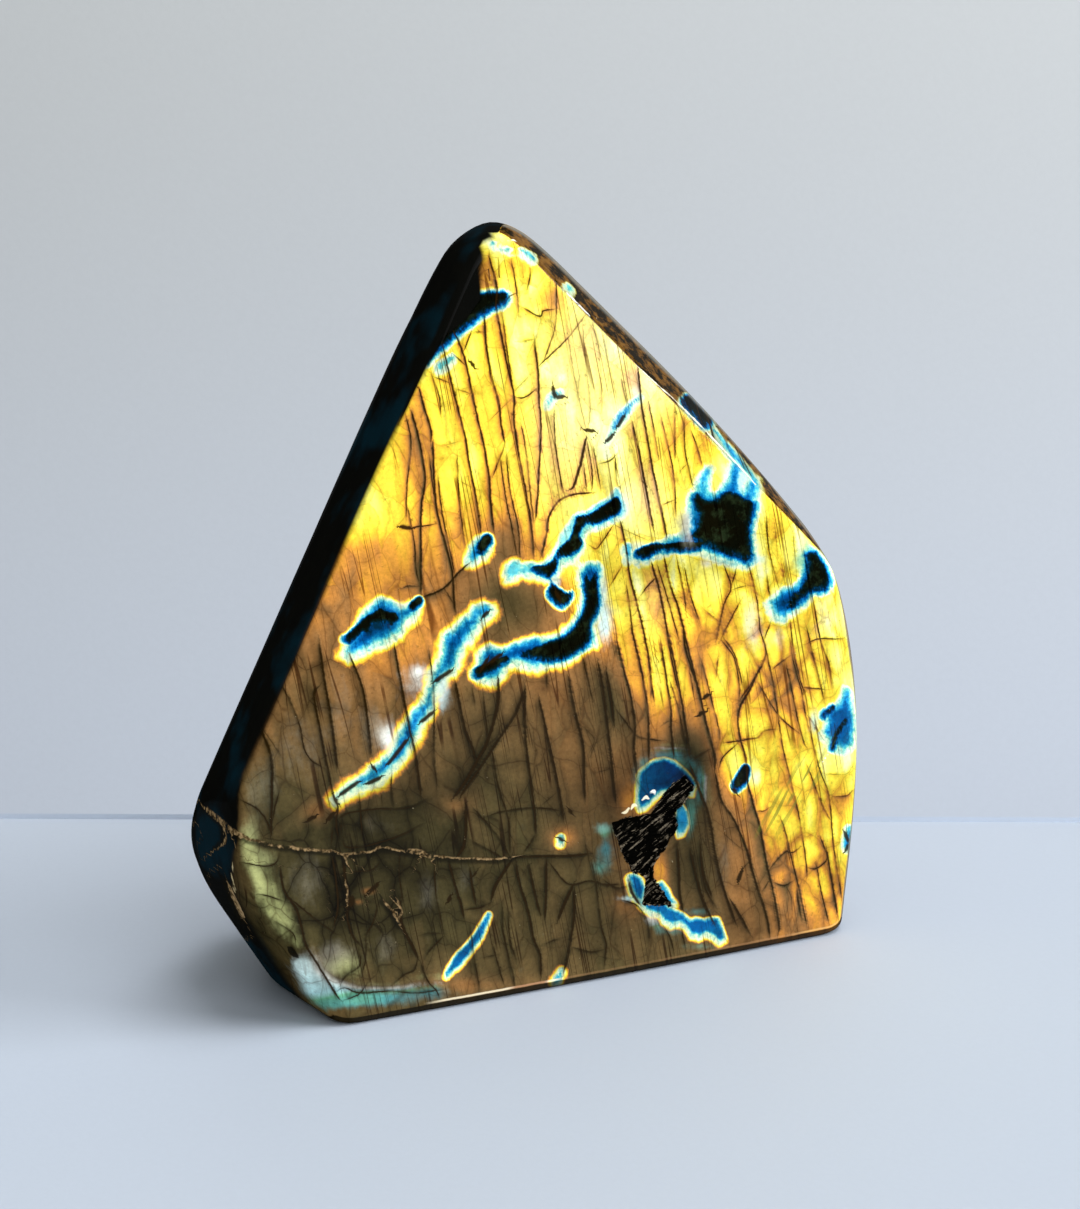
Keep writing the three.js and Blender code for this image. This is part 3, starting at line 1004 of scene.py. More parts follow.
class CrackBook:
    """Signed distances from every point to the cracks, spread over channels so that near ones don't meet."""

    def __init__(self, count):
        self.far = np.full((count, CRACK_CHANNELS), CRACK_OUT)
        self.mark = np.zeros((count, CRACK_CHANNELS))
        self.shade = np.zeros(count)
        self.runs = [[] for _ in range(CRACK_CHANNELS)]

    def channel_for(self, run):
        best, most = 0, -1
        for i, others in enumerate(self.runs):
            if not others:
                return i
            placed = np.vstack(others)
            gap = np.sqrt(((run[:, None] - placed[None]) ** 2).sum(2)).min()
            if gap > 2 * CRACK_REACH:
                return i
            if gap > most:
                best, most = i, gap
        return best

    def draw(self, spots, where, strength, points):
        run = rounded(points)
        channel = self.channel_for(run)
        self.runs[channel].append(run)
        low, high = run.min(0) - SHADE_REACH, run.max(0) + SHADE_REACH
        near = np.flatnonzero(where & (spots > low).all(1) & (spots < high).all(1))
        if not len(near):
            return
        here = spots[near]
        best = np.full(len(near), 1e9)
        side, along = np.ones(len(near)), np.zeros(len(near))
        lengths = np.sqrt((np.diff(run, axis=0) ** 2).sum(1))
        gone = 0
        for start, end, length in zip(run[:-1], run[1:], lengths):
            distance, which, share = segment_distances(here, start, end)
            closer = distance < best
            best = np.where(closer, distance, best)
            side = np.where(closer, which, side)
            along = np.where(closer, gone + share * length, along)
            gone += length
        is_fleck = strength > 2
        taper = 1 if is_fleck else np.clip(np.minimum(along, gone - along) / 12 + 0.35, 0, 1)
        mark = strength * taper * (1 - smooth_step(4.5, CRACK_REACH, best))
        if not is_fleck:
            fade = min(strength, 1.1) * taper
            self.shade[near] = np.maximum(self.shade[near], np.where(side < 0, fade * np.exp(-best / 7), 0))
        nearer = (best < np.abs(self.far[near, channel])) & (best < CRACK_REACH + 3)
        chosen = near[nearer]
        self.far[chosen, channel] = (best * side)[nearer]
        self.mark[chosen, channel] = mark[nearer]


def glowing_down(spots, distance_at):
    """A distance whose light border is broader below the vein than above it."""
    distance = distance_at(spots)
    below = distance_at(spots - np.array([-0.8, 3.0]))
    return distance + np.clip(distance / 4, 0, 1) * (below - distance)


def vein_distances(spots):
    """How far outside the nearest bright vein each point lies, how dark that one gets, and how far outside
    the nearest dark vein it lies, in pixels."""
    found = []
    for darkest, speed, text in VEIN_OUTLINES.values():
        corners = read_points(text)
        distance = glowing_down(spots, lambda places: polygon_distance(places, corners))
        found.append((darkest, speed * distance))
    for darkest, speed, text in VEIN_STROKES.values():
        run = rounded(read_points(text))
        distance = glowing_down(spots, lambda places: stroke_distance(places, run))
        found.append((darkest, speed * distance))
    bright, dark = np.full(len(spots), VEIN_OUT), np.full(len(spots), VEIN_OUT)
    core = np.zeros(len(spots))
    for darkest, distance in found:
        if darkest < DARK_VEIN:
            dark = np.minimum(dark, distance)
            continue
        nearer = distance < bright
        core = np.where(nearer, darkest, core)
        bright = np.where(nearer, distance, bright)
    return bright, core, add_patches(dark, spots, VEIN_PATCHES)


def clear_selection():
    if bpy.context.object and bpy.context.object.mode != "OBJECT":
        bpy.ops.object.mode_set(mode="OBJECT")
    bpy.ops.object.select_all(action="DESELECT")


def sawn_block(settings):
    """The block that the stone is ground from, divided finely, and more finely on the front, round the
    pocket and at the bevel's crease."""
    clear_selection()
    bpy.ops.mesh.primitive_cube_add(size=1, location=(0, 0, 0))
    block = bpy.context.object
    block.name = "labradorite"
    block.scale = [v * MM for v in BLANK.values()]
    bpy.ops.object.transform_apply(location=False, rotation=False, scale=True)
    bpy.ops.object.mode_set(mode="EDIT")
    bpy.ops.mesh.select_mode(type="EDGE")
    for axis, cuts in ((0, settings.columns), (0, 1), (2, settings.rows), (2, 1), (1, settings.rim)):
        bpy.ops.mesh.select_all(action="DESELECT")
        body = bmesh.from_edit_mesh(block.data)
        for edge in body.edges:
            way = edge.verts[1].co - edge.verts[0].co
            edge.select_set(abs(way[axis]) > 0.99 * way.length)
        bmesh.update_edit_mesh(block.data)
        bpy.ops.mesh.subdivide(number_cuts=cuts, smoothness=0)
    bpy.ops.mesh.select_mode(type="FACE")
    front = -BLANK["deep"] * MM / 2
    pocket = np.array(POCKET_OUTLINE)
    low, high = pocket.min(0) - POCKET_MARGIN, pocket.max(0) + POCKET_MARGIN
    for part in ("front", "pocket", *CREASE_REACH):
        bpy.ops.mesh.select_all(action="DESELECT")
        body = bmesh.from_edit_mesh(block.data)
        body.faces.ensure_lookup_table()
        centres = np.array([face.calc_center_median()[:] for face in body.faces])
        chosen = centres[:, 1] < front * 0.999
        if part == "pocket":
            places = shaped_outline(centres / MM) + np.array(HEART)
            chosen &= (places[:, 0] > low[0]) & (places[:, 0] < high[0])
            chosen &= (places[:, 2] > low[1]) & (places[:, 2] < high[1])
        if part in CREASE_REACH:
            chosen = np.abs(lead(ground(centres / MM), ["top right edge"])) < CREASE_REACH[part]
        for face, wanted in zip(body.faces, chosen):
            face.select_set(bool(wanted))
        bmesh.update_edit_mesh(block.data)
        bpy.ops.mesh.subdivide(number_cuts=1, smoothness=0)
    bpy.ops.object.mode_set(mode="OBJECT")
    return block


def shaped_outline(points):
    """The block's points, in millimetres, drawn in from its outline to the stone's, still as deep."""
    flat = points.copy()
    flat[:, 1] = 0
    half = np.array([BLANK["wide"] / 2, 1, BLANK["high"] / 2])
    share = np.abs(flat / half).max(1)
    length = np.maximum(np.sqrt((flat**2).sum(1)), 1e-6)
    ways = flat / length[:, None]
    edge = np.sqrt((leave_stone(np.zeros_like(flat), ways) ** 2).sum(1))
    shaped = ways * (edge * share)[:, None]
    shaped[:, 1] = points[:, 1]
    return shaped


def ground(points):
    """The block's points moved onto the stone, in millimetres from the heart."""
    shaped = shaped_outline(points)
    starts = shaped * np.array([0.86, 0, 0.86])
    ways = shaped - starts
    ways /= np.sqrt((ways**2).sum(1))[:, None]
    return leave_stone(starts, ways)


def pocket_cut(stone_points, on_front):
    """How deep each point of the front lies in the rough pocket, and how far inside its outline."""
    places = stone_points[:, [0, 2]] + np.array([HEART[0], HEART[2]])
    inside = -polygon_distance(places, POCKET_OUTLINE)
    slope = math.radians(POCKET["slope"])
    across = places @ np.array([-math.sin(slope), math.cos(slope)]) + 0.35 * np.sin(places[:, 0] * 1.3)
    ridge = (across / POCKET["pitch"]) % 1
    tooth = (across / (POCKET["pitch"] / 3.2)) % 1
    floor = POCKET["depth"] - POCKET["ridge"] * ridge * 0.75 - POCKET["tooth"] * tooth
    cut = floor * smooth_step(0, POCKET["lip"], inside) * on_front
    return cut, np.where(on_front > 0.5, inside, -9)


def paint_flash(spots, raw, leads, rng):
    """Where the flash is yellow, brown, blue or dark, how bright it is, and what haze lies over it."""
    on_front = smooth_step(-0.5, 0.5, leads["front"])
    on_bevel = smooth_step(-0.1, 0.1, leads["bevel"])
    line = np.array(BROWN_LINE, float)
    below = spots[:, 1] - np.interp(spots[:, 0], line[:, 0], line[:, 1])
    background = add_patches(np.interp(below, *BROWN_STEPS), spots, PHASE_PATCHES)
    haze, tone = hazy_patches(spots, HAZE_PATCHES)
    glow = np.clip(add_patches(np.ones(len(spots)), spots, GLOW_PATCHES), 0.25, 1.2)
    edge = np.array(LEFT_EDGE, float)
    inner = np.interp(spots[:, 1], edge[:, 1], edge[:, 0])
    softness = np.interp(spots[:, 1], edge[:, 1], edge[:, 2])
    glow *= np.clip((spots[:, 0] - inner) / softness, 0, 1)
    bright, core, dark = vein_distances(spots)

    # The back and the right side are dim and brown, with a few broad patches of flash
    places = raw / 10
    waves, tint = np.zeros(len(raw)), np.zeros(len(raw))
    for _ in range(7):
        way = rng.normal(size=3)
        way /= np.linalg.norm(way)
        waves += np.sin(places @ way * rng.uniform(0.9, 2.2) + rng.uniform(0, 6.3))
        tint += np.sin(places @ way * rng.uniform(0.5, 1.1) + rng.uniform(0, 6.3))
    behind_us = smooth_step(-2, 6, raw[:, 1])
    out_of_sight = np.maximum(behind_us, smooth_step(-0.3, 0.5, leads["right"]))
    flashing = smooth_step(-0.6, 4.4, waves)
    phase_there = np.clip(0.94 - 0.46 * flashing + 0.05 * tint, 0.14, 1)
    background = background * (1 - out_of_sight) + out_of_sight * phase_there

    # At the lower left the flash runs on over the rounded edge of the front
    over_edge = smooth_step(360, 330, spots[:, 0]) * smooth_step(840, 880, spots[:, 1])
    side = 1 - smooth_step(-0.5, 0.5, leads["front"] + 14 * over_edge)
    glow = glow * (1 - side) + side * out_of_sight * (0.4 + 0.25 * flashing)
    has_veins = (on_front > 0.02) | (on_bevel > 0.3)
    return {
        "background": background * (1 - on_bevel) + on_bevel * 0.93,
        "glow": glow * (1 - on_bevel) + on_bevel * 0.75,
        "veil": all_patches(spots, PAINTED_REFLECTION_PATCHES) * (1 - side),
        "bright_far": np.where(has_veins, bright, VEIN_OUT),
        "bright_core": core,
        "dark_far": np.where(has_veins, dark, VEIN_OUT),
        "haze": haze * (1 - side),
        "tone": tone,
        "dull_left": smooth_step(-3.0, -1.5, leads["left"]) * (1 - behind_us),
        "pillowed": all_patches(spots, PILLOW_PATCHES),
    }


def draw_cracks(spots, raw, facing_us, rng):
    """The cleavage cracks: those of the photograph on the front, and others like them on the back."""
    book = CrackBook(len(spots))
    for text in (FLECKS, CRACKS):
        for letter, points in read_runs(text):
            book.draw(spots, facing_us, CRACK_STRENGTH[letter], points)
    behind = raw[:, [0, 2]] * PX_PER_MM
    back_book = CrackBook(len(spots))
    for _ in range(BACK_CRACKS):
        x, z = rng.uniform(-58, 62) * PX_PER_MM, rng.uniform(-40, 80) * PX_PER_MM
        length = rng.uniform(60, 260)
        slant = rng.uniform(-0.2, -0.06)
        run = [(x + slant * s + rng.normal() * 3, z - s) for s in np.arange(0, length, 34)]
        if len(run) > 1:
            back_book.draw(behind, ~facing_us, rng.choice([1.0, 0.62, 0.62, 0.34]), run)
    for part in ("far", "mark", "shade"):
        getattr(book, part)[~facing_us] = getattr(back_book, part)[~facing_us]
    return book


def draw_healed_crack(spots, in_front):
    """Signed distance to the healed crack, and how wide it is there."""
    far, mark = np.full(len(spots), LINE_OUT), np.zeros(len(spots))
    for width, points in read_runs(HEALED):
        run = rounded(points)
        for start, end in zip(run[:-1], run[1:]):
            distance, which, _ = segment_distances(spots, start, end)
            nearer = distance < np.abs(far)
            far = np.where(nearer, distance * which, far)
            mark = np.where(nearer, float(width), mark)
    mark = np.where(spots[:, 0] < HEALED_END, mark, 0) * in_front
    return np.where(in_front, far, np.copysign(LINE_OUT, far)), mark


def draw_light_lines(spots, where):
    """Distance to the nearest of the thin lines, painted highlights and marks of the stone alike, and its
    tone.
    """
    far, tone = np.full(len(spots), LINE_OUT), np.zeros(len(spots))
    for first, points in read_runs(GLINTS):
        distance = stroke_distance(spots, rounded(points))
        nearer = distance < far
        far = np.where(nearer, distance, far)
        tone = np.where(nearer, float(first), tone)
    return np.where(where, far, LINE_OUT), tone


def scratched_zone(spots):
    """Where fine green scratches run up to the right, beside the edge patch."""
    off_x, off_y = spots[:, 0] - SCRATCHES["x"], spots[:, 1] - SCRATCHES["y"]
    along, across = off_x * 0.6 - off_y * 0.8, off_x * 0.8 + off_y * 0.6
    return np.exp(-((along / SCRATCHES["long"]) ** 4) - (across / SCRATCHES["wide"]) ** 2)


def put_vectors(mesh, name, values):
    attribute = mesh.attributes.new(name, "FLOAT_VECTOR", "POINT")
    attribute.data.foreach_set("vector", np.ascontiguousarray(values, np.float32).ravel())


def paint_fields(mesh, settings, raw, centred, leads, inside_pocket):
    """Writes on every point what the finish reads: the fields, and the cracks with their strength."""
    spots = to_photo(centred)
    on_front = smooth_step(-0.5, 0.5, leads["front"])
    in_front = centred[:, 1] < FRONT_HALF
    rng = np.random.default_rng(settings.seed)
    fields = paint_flash(spots, raw, leads, rng)
    book = draw_cracks(spots, raw, on_front > 0.02, rng)
    fields["shade"] = book.shade
    for i, letter in enumerate(CHANNEL_LETTERS):
        put_vectors(mesh, "crack_far_" + letter, book.far[:, 3 * i : 3 * i + 3])
        put_vectors(mesh, "crack_mark_" + letter, book.mark[:, 3 * i : 3 * i + 3])
    fields["healed_far"], fields["healed_mark"] = draw_healed_crack(spots, in_front)
    fields["glint_far"], fields["glint_tone"] = draw_light_lines(spots, in_front & (leads["right"] < 0.3))
    fields["scratch_zone"] = scratched_zone(spots) * on_front

    # A painted highlight runs along the rounding over the base, where the front face ends
    at, strength, gold = BASE_LIGHT
    fields["base_light"] = np.interp(spots[:, 0], at, strength) * in_front
    fields["base_gold"] = np.interp(spots[:, 0], at, gold)
    fields["pocket"] = inside_pocket
    for part in ("bevel", "left", "right", "base"):
        fields[part] = leads[part]
    for name, parts in FIELDS.items():
        columns = [fields[part] for part in parts] + [np.zeros(len(spots))] * (3 - len(parts))
        put_vectors(mesh, name, np.stack(columns, 1))


def linear(colour):
    """A colour given as the photograph shows it, from 0 to 255, as Blender's light values."""
    values = [v / 255 for v in colour]
    return tuple(v / 12.92 if v <= 0.04045 else ((v + 0.055) / 1.055) ** 2.4 for v in values) + (1,)


def paint(name):
    return linear(COLOURS[name])


class Nodes:
    """A short way to write down a node tree."""

    def __init__(self, tree):
        self.tree = tree

    def add(self, kind, *inputs, out=0, **settings):
        node = self.tree.nodes.new(kind)
        for key, value in settings.items():
            setattr(node, key, value)
        for i, value in enumerate(inputs):
            self.put(value, node.inputs[i])
        return node.outputs[out]

    def put(self, value, socket):
        if value is None:
            return
        if isinstance(value, bpy.types.NodeSocket):
            self.tree.links.new(value, socket)
        else:
            socket.default_value = value

    def group(self, tree, *values):
        node = self.tree.nodes.new("ShaderNodeGroup")
        node.node_tree = tree
        for value, socket in zip(values, node.inputs):
            self.put(value, socket)
        return list(node.outputs)

    def math(self, operation, a, b=None, c=None, clamp=False):
        return self.add("ShaderNodeMath", a, b, c, operation=operation, use_clamp=clamp)

    def scaled(self, value, factor, base=0.0):
        return self.math("MULTIPLY_ADD", value, factor, base)

    def times(self, first, *others):
        for value in others:
            first = self.math("MULTIPLY", first, value)
        return first

    def less(self, a, b):
        return self.math("SUBTRACT", a, b)

    def most(self, first, *others):
        for value in others:
            first = self.math("MAXIMUM", first, value)
        return first

    def around(self, value, amount, base=0.0):
        """A noise centred on nought, scaled and added to a value."""
        return self.scaled(self.less(value, 0.5), amount, base)

    def mix(self, factor, a, b, blend="MIX"):
        node = self.tree.nodes.new("ShaderNodeMix")
        node.data_type, node.blend_type = "RGBA", blend
        for value, name in ((factor, "Factor_Float"), (a, "A_Color"), (b, "B_Color")):
            self.put(value, next(s for s in node.inputs if s.identifier == name))
        return next(s for s in node.outputs if s.identifier == "Result_Color")

    def step(self, value, low, high, to_low=0.0, to_high=1.0):
        inputs = (value, low, high, to_low, to_high)
        return self.add("ShaderNodeMapRange", *inputs, interpolation_type="SMOOTHSTEP")

    def line_at(self, value, at, sharp, soft):
        """A line where a value comes near another: full up to one distance and gone past the next."""
        return self.step(self.math("ABSOLUTE", self.less(value, at)), sharp, soft, 1.0, 0.0)

    def table(self, value, places, heights):
        """A value looked up in a table of places and heights, with straight runs between them."""
        low, span, top = places[0], places[-1] - places[0], max(heights)
        greys = [(height / top,) * 3 + (1,) for height in heights]
        stops = [((place - low) / span, grey) for place, grey in zip(places, greys)]
        return self.times(self.ramp(self.scaled(value, 1 / span, -low / span), stops), top)

    def ramp(self, value, stops):
        """A colour looked up in a ramp of positions and colours."""
        node = self.tree.nodes.new("ShaderNodeValToRGB")
        points = node.color_ramp.elements
        points[1].position = stops[-1][0]
        for position, _ in stops[1:-1]:
            points.new(position)
        for point, (position, colour) in zip(points, stops):
            point.position, point.color = position, colour
        self.put(value, node.inputs[0])
        return node.outputs[0]

    def tones(self, value, stops):
        """A ramp whose colours are given as the photograph shows them."""
        return self.ramp(value, [(position, linear(colour)) for position, colour in stops])

    def stretched(self, place, turn, scale):
        """Coordinates turned about the line of sight, in degrees, and stretched."""
        node = self.tree.nodes.new("ShaderNodeMapping")
        node.vector_type = "TEXTURE"
        self.put(place, node.inputs["Vector"])
        node.inputs["Rotation"].default_value = (0, math.radians(turn), 0)
        node.inputs["Scale"].default_value = scale
        return node.outputs[0]

    def parts(self, name):
        read = self.add("ShaderNodeAttribute", attribute_name=name, out=1)
        node = self.tree.nodes.new("ShaderNodeSeparateXYZ")
        self.tree.links.new(read, node.inputs[0])
        return list(node.outputs)

    def noise(self, place, scale, detail=3.0, roughness=0.5):
        node = self.tree.nodes.new("ShaderNodeTexNoise")
        values = {"Vector": place, "Scale": scale, "Detail": detail, "Roughness": roughness}
        for name, value in values.items():
            self.put(value, node.inputs[name])
        return node.outputs["Fac"]


def new_group(name, inputs, outputs):
    group = bpy.data.node_groups.new(name, "ShaderNodeTree")
    for label, kind, default in inputs:
        socket = group.interface.new_socket(label, in_out="INPUT", socket_type=kind)
        if default is not None:
            socket.default_value = default
    for label in outputs:
        group.interface.new_socket(label, in_out="OUTPUT", socket_type="NodeSocketFloat")
    return group, Nodes(group), group.nodes.new("NodeGroupInput"), group.nodes.new("NodeGroupOutput")


def crack_group():
    """One channel of cracks: a thin dark line, a thinner one beside it, and the stained stone around."""
    group, n, inside, out = new_group(
        "cleavage crack",
        [
            ("Far", "NodeSocketFloat", CRACK_OUT), ("Mark", "NodeSocketFloat", 0),
            ("Wobble", "NodeSocketFloat", 0), ("Fade", "NodeSocketFloat", 1),
        ],
        ["Line", "Stain"],
    )
    far, mark, wobble, fade = inside.outputs[:4]
    moved = n.scaled(wobble, 1.7, far)
    gap = n.math("DIVIDE", n.math("ABSOLUTE", moved), n.scaled(mark, 0.62, 0.26))
    seen = n.math("MULTIPLY", n.times(mark, 1.5), fade, clamp=True)
    line = n.times(n.step(gap, 0.5, 1.7, 1.0, 0.0), seen)
    beside = n.math("ABSOLUTE", n.scaled(wobble, -3.0, n.less(moved, 2.9)))
    second = n.times(n.step(beside, 0.15, 0.8, 1.0, 0.0), n.times(seen, n.less(1.3, fade)))
    n.put(n.most(line, n.times(second, 0.45)), out.inputs[0])
    stain = n.step(n.math("ABSOLUTE", moved), 0.4, 3.0, 1.0, 0.0)
    n.put(n.times(stain, n.math("MULTIPLY", mark, 1.0, clamp=True)), out.inputs[1])
    return group


def pillow_group():
    """Cells of stone between finer cracks: the crack round each cell, a tint that differs from cell to cell,
    and how near a place is to the crown of its cell."""
    group, n, inside, out = new_group(
        "stone pillows",
        [
            ("Place", "NodeSocketVector", None), ("Size", "NodeSocketFloat", 200),
            ("Crack", "NodeSocketFloat", 0.03),
        ],
        ["Line", "Tint", "Crown"],
    )
    place, size, crack = inside.outputs[:3]
    cells = {}
    for feature in ("F1", "DISTANCE_TO_EDGE"):
        node = group.nodes.new("ShaderNodeTexVoronoi")
        node.feature = feature
        n.put(place, node.inputs["Vector"])
        n.put(size, node.inputs["Scale"])
        cells[feature] = node
    edge = cells["DISTANCE_TO_EDGE"].outputs["Distance"]
    n.put(n.step(edge, 0.0, crack, 1.0, 0.0), out.inputs[0])
    split = group.nodes.new("ShaderNodeSeparateColor")
    n.put(cells["F1"].outputs["Color"], split.inputs[0])
    n.put(split.outputs[0], out.inputs[1])
    n.put(n.step(edge, 0.0, 0.22), out.inputs[2])
    return group


def read_fields(n):
    """What paint_fields wrote on the mesh, under the same names."""
    found = {}
    for name, parts in FIELDS.items():
        found.update(zip(parts, n.parts(name)))
    return SimpleNamespace(**found)


def rock_noises(n, place):
    """The noises that break up everything in the stone. Some follow the cleavage, which leans a little."""
    grain = n.stretched(place, LEAN, (1, 1, 7))
    tiny, small = n.noise(place, 1500, 3, 0.6), n.noise(place, 420, 4, 0.6)
    return SimpleNamespace(
        tiny=tiny,
        small=small,
        wobble=n.less(n.scaled(tiny, 0.8, small), 0.9),
        columns=n.noise(grain, 260, 3, 0.55),
        comb=n.noise(grain, 900, 3, 0.6),
        broad=n.noise(place, 70, 3, 0.55),
        ragged=n.noise(place, 330, 4, 0.65),
    )


def cleavage_cracks(n, place, rock):
    """The drawn cracks of all channels: their dark lines, and the stained stone beside them."""
    fade = n.step(n.noise(place, 240, 2, 0.5), 0.34, 0.6, 0.45, 1.15)
    crack = crack_group()
    lines, stains = [], []
    for letter in CHANNEL_LETTERS:
        for far, mark in zip(n.parts("crack_far_" + letter), n.parts("crack_mark_" + letter)):
            line, stain = n.group(crack, far, mark, rock.wobble, fade)
            lines.append(line)
            stains.append(stain)
    return n.most(*lines), n.most(*stains)


def stone_cells(n, place):
    """Cells on warped coordinates: long ones that follow the cleavage, and rounder ones across it."""
    pillows = pillow_group()
    warp = n.tree.nodes.new("ShaderNodeTexNoise")
    n.put(place, warp.inputs["Vector"])
    warp.inputs["Scale"].default_value = 170
    bent = n.add("ShaderNodeVectorMath", warp.outputs["Color"], (0.5, 0.5, 0.5), operation="SUBTRACT")
    kinds = []
    for bend, stretch, size, width in CELL_KINDS:
        moved = n.add("ShaderNodeVectorMath", bent, (bend, bend, bend), operation="MULTIPLY")
        moved = n.add("ShaderNodeVectorMath", place, moved, operation="ADD")
        line, tint, crown = n.group(pillows, n.stretched(moved, LEAN, (1, 4, stretch)), size, width)
        kinds.append(SimpleNamespace(line=line, tint=tint, crown=crown))
    return kinds


def hairlines(n, place):
    """Hairlines along the cleavage, like the contour lines of a stretched noise."""
    grain = n.stretched(place, LEAN, (1, 6, 110))
    fine = n.line_at(n.noise(grain, 520, 0, 0.5), 0.5, 0.004, 0.018)
    coarse = n.line_at(n.noise(grain, 270, 1, 0.5), 0.44, 0.002, 0.01)
    return n.times(n.most(fine, coarse), n.step(n.noise(place, 110, 1, 0.5), 0.44, 0.56, 0.1, 0.75))


def flash_phase(n, at, rock, long_cells, round_cells, hollow, stain):
    """Phase of the flash: the background with its columns and pillows, cut by the veins. Also the veins'."""
    change = n.around(rock.columns, 0.24)
    change = n.around(rock.broad, 0.18, change)
    change = n.around(round_cells.tint, 0.06, change)
    change = n.around(long_cells.tint, 0.06, change)
    phase = n.scaled(change, n.step(at.background, *YELLOW_END, 1.0, 0.35), at.background)
    in_yellow = n.step(at.background, *YELLOW_END, 1.0, 0.2)
    for value, depth in ((hollow, 0.12), (at.shade, 0.19), (stain, 0.1)):
        phase = n.scaled(n.times(value, in_yellow), depth, phase)
    rough_edge = n.around(rock.tiny, 5.0, n.around(rock.ragged, 6.0, n.around(rock.comb, 5.0)))
    bright = n.table(n.math("ADD", at.bright_far, rough_edge), *BRIGHT_RUN)
    bright = n.most(bright, n.around(rock.columns, 0.12, n.around(rock.ragged, 0.12, at.bright_core)))
    dark = n.table(n.math("ADD", at.dark_far, rough_edge), *DARK_RUN)
    vein = n.math("MINIMUM", bright, dark)
    return n.math("MINIMUM", phase, vein), vein


def flash_colour(n, place, at, rock, phase, vein):
    """The colours of the flash, with its haze and a painted reflection of a window laid over it as a pale
    veil.
    """
    flash = n.tones(phase, FLASH_COLOURS)
    # The blues lean to green in places, and the dark parts of the veins are mottled
    green = n.times(n.step(n.noise(place, 130, 3, 0.6), 0.42, 0.6), n.step(phase, 0.33, 0.43, 1.0, 0.0))
    flash = n.mix(n.times(green, 0.8), flash, GREEN_CAST, "MULTIPLY")
    murk = n.times(n.step(rock.ragged, 0.5, 0.66), n.step(phase, 0.02, 0.08, 0.7, 0.0))
    flash = n.mix(murk, flash, paint("murk"))
    hazy = n.step(n.around(rock.ragged, 0.7, n.around(rock.comb, 0.5, at.haze)), 0.1, 0.95)
    hazy = n.times(hazy, n.most(n.step(vein, 0.22, 0.36), n.step(at.tone, 0.68, 0.74)))
    colour = n.mix(n.times(hazy, 0.9), flash, n.tones(at.tone, HAZE_TONES))
    # Painted reflection: a pale veil where the polish would mirror a bright window
    return n.mix(n.times(at.veil, n.step(vein, 0.2, 0.4)), colour, paint("veil"))


def shaded(n, colour, at, rock, long_cells, hollow, stain, in_brown):
    """The flash, darker beside the cracks and towards the crack on the right of each pillow, and crumbly."""
    dim = n.less(1.12, n.times(at.shade, n.scaled(in_brown, 0.5, 0.3)))
    dim = n.times(dim, n.less(1.0, n.times(stain, n.scaled(in_brown, 0.35, 0.2))))
    dim = n.times(dim, n.around(rock.tiny, 0.8, 1.0))
    dim = n.times(dim, n.around(long_cells.tint, 0.14, 1.0))
    dim = n.times(dim, n.less(1.0, n.times(hollow, n.scaled(in_brown, 0.45, 0.25))))
    dim = n.times(dim, n.scaled(long_cells.crown, 0.16, 0.88), at.glow)
    return n.mix(1.0, colour, dim, "MULTIPLY")


def cracked(n, colour, place, at, rock, long_cells, round_cells, line, stain, in_brown):
    """The hairlines, the cracks round the cells, the drawn cracks, and the crumbs, specks and scratches."""
    hair = n.times(long_cells.line, n.step(rock.columns, 0.45, 0.6, 0.0, 0.4))
    arcs = n.times(round_cells.line, n.scaled(n.times(at.pillowed, in_brown), 0.5, 0.25))
    colour = n.mix(n.most(hair, hairlines(n, place), arcs), colour, paint("hairline"), "MULTIPLY")
    crumbs = n.times(n.step(n.noise(place, 900, 2, 0.5), 0.66, 0.7), n.scaled(stain, 0.7, 0.25))
    colour = n.mix(n.most(n.times(line, 0.94), crumbs), colour, paint("crack"))
    specks = n.step(n.noise(place, 2300, 1, 0.5), 0.77, 0.8)
    specks = n.times(specks, n.step(rock.small, 0.55, 0.65, 0.0, 0.5))
    colour = n.mix(specks, colour, paint("speck"))
    scratches = n.step(n.noise(n.stretched(place, 34, (1, 1, 40)), 1500, 0, 0.5), 0.56, 0.66)
    scratches = n.times(scratches, at.scratch_zone, n.step(at.background, 0.9, 0.96, 0.75, 0.0))
    return n.mix(scratches, colour, paint("scratch"))


def edged(n, colour, place, at, rock, vein):
    """The mottled bevel at the top right, a painted reflection of the pale room on the rim of the right
    side, and the rounded edge over the base, with a painted highlight along it and painted shade below."""
    mottle = n.noise(n.stretched(place, 40, (1, 1, 0.45)), 330, 4, 0.7)
    on_bevel = n.times(n.step(at.bevel, -0.04, 0.04), n.step(vein, 0.3, 0.6))
    colour = n.mix(on_bevel, colour, n.tones(mottle, BEVEL_TONES))
    # Painted reflection of the pale room along the rim of the right side
    rim = n.times(n.step(at.right, -1.1, -0.3, 0.0, 0.75), n.step(at.right, 0.3, 2.0, 1.0, 0.0))
    colour = n.mix(rim, colour, paint("rim"))
    # Painted shade on the underside of the rounded edge over the base
    below = n.step(n.around(rock.small, 0.3, at.base), -1.75, -1.5)
    colour = n.mix(n.times(below, 0.9), colour, paint("painted shade under the edge"))
    # Painted highlight along the rounded edge over the base
    lit = n.line_at(n.around(rock.small, 0.25, at.base), -1.9, 0.1, 0.3)
    return n.mix(n.times(lit, at.base_light), colour, n.tones(at.base_gold, BASE_TONES))


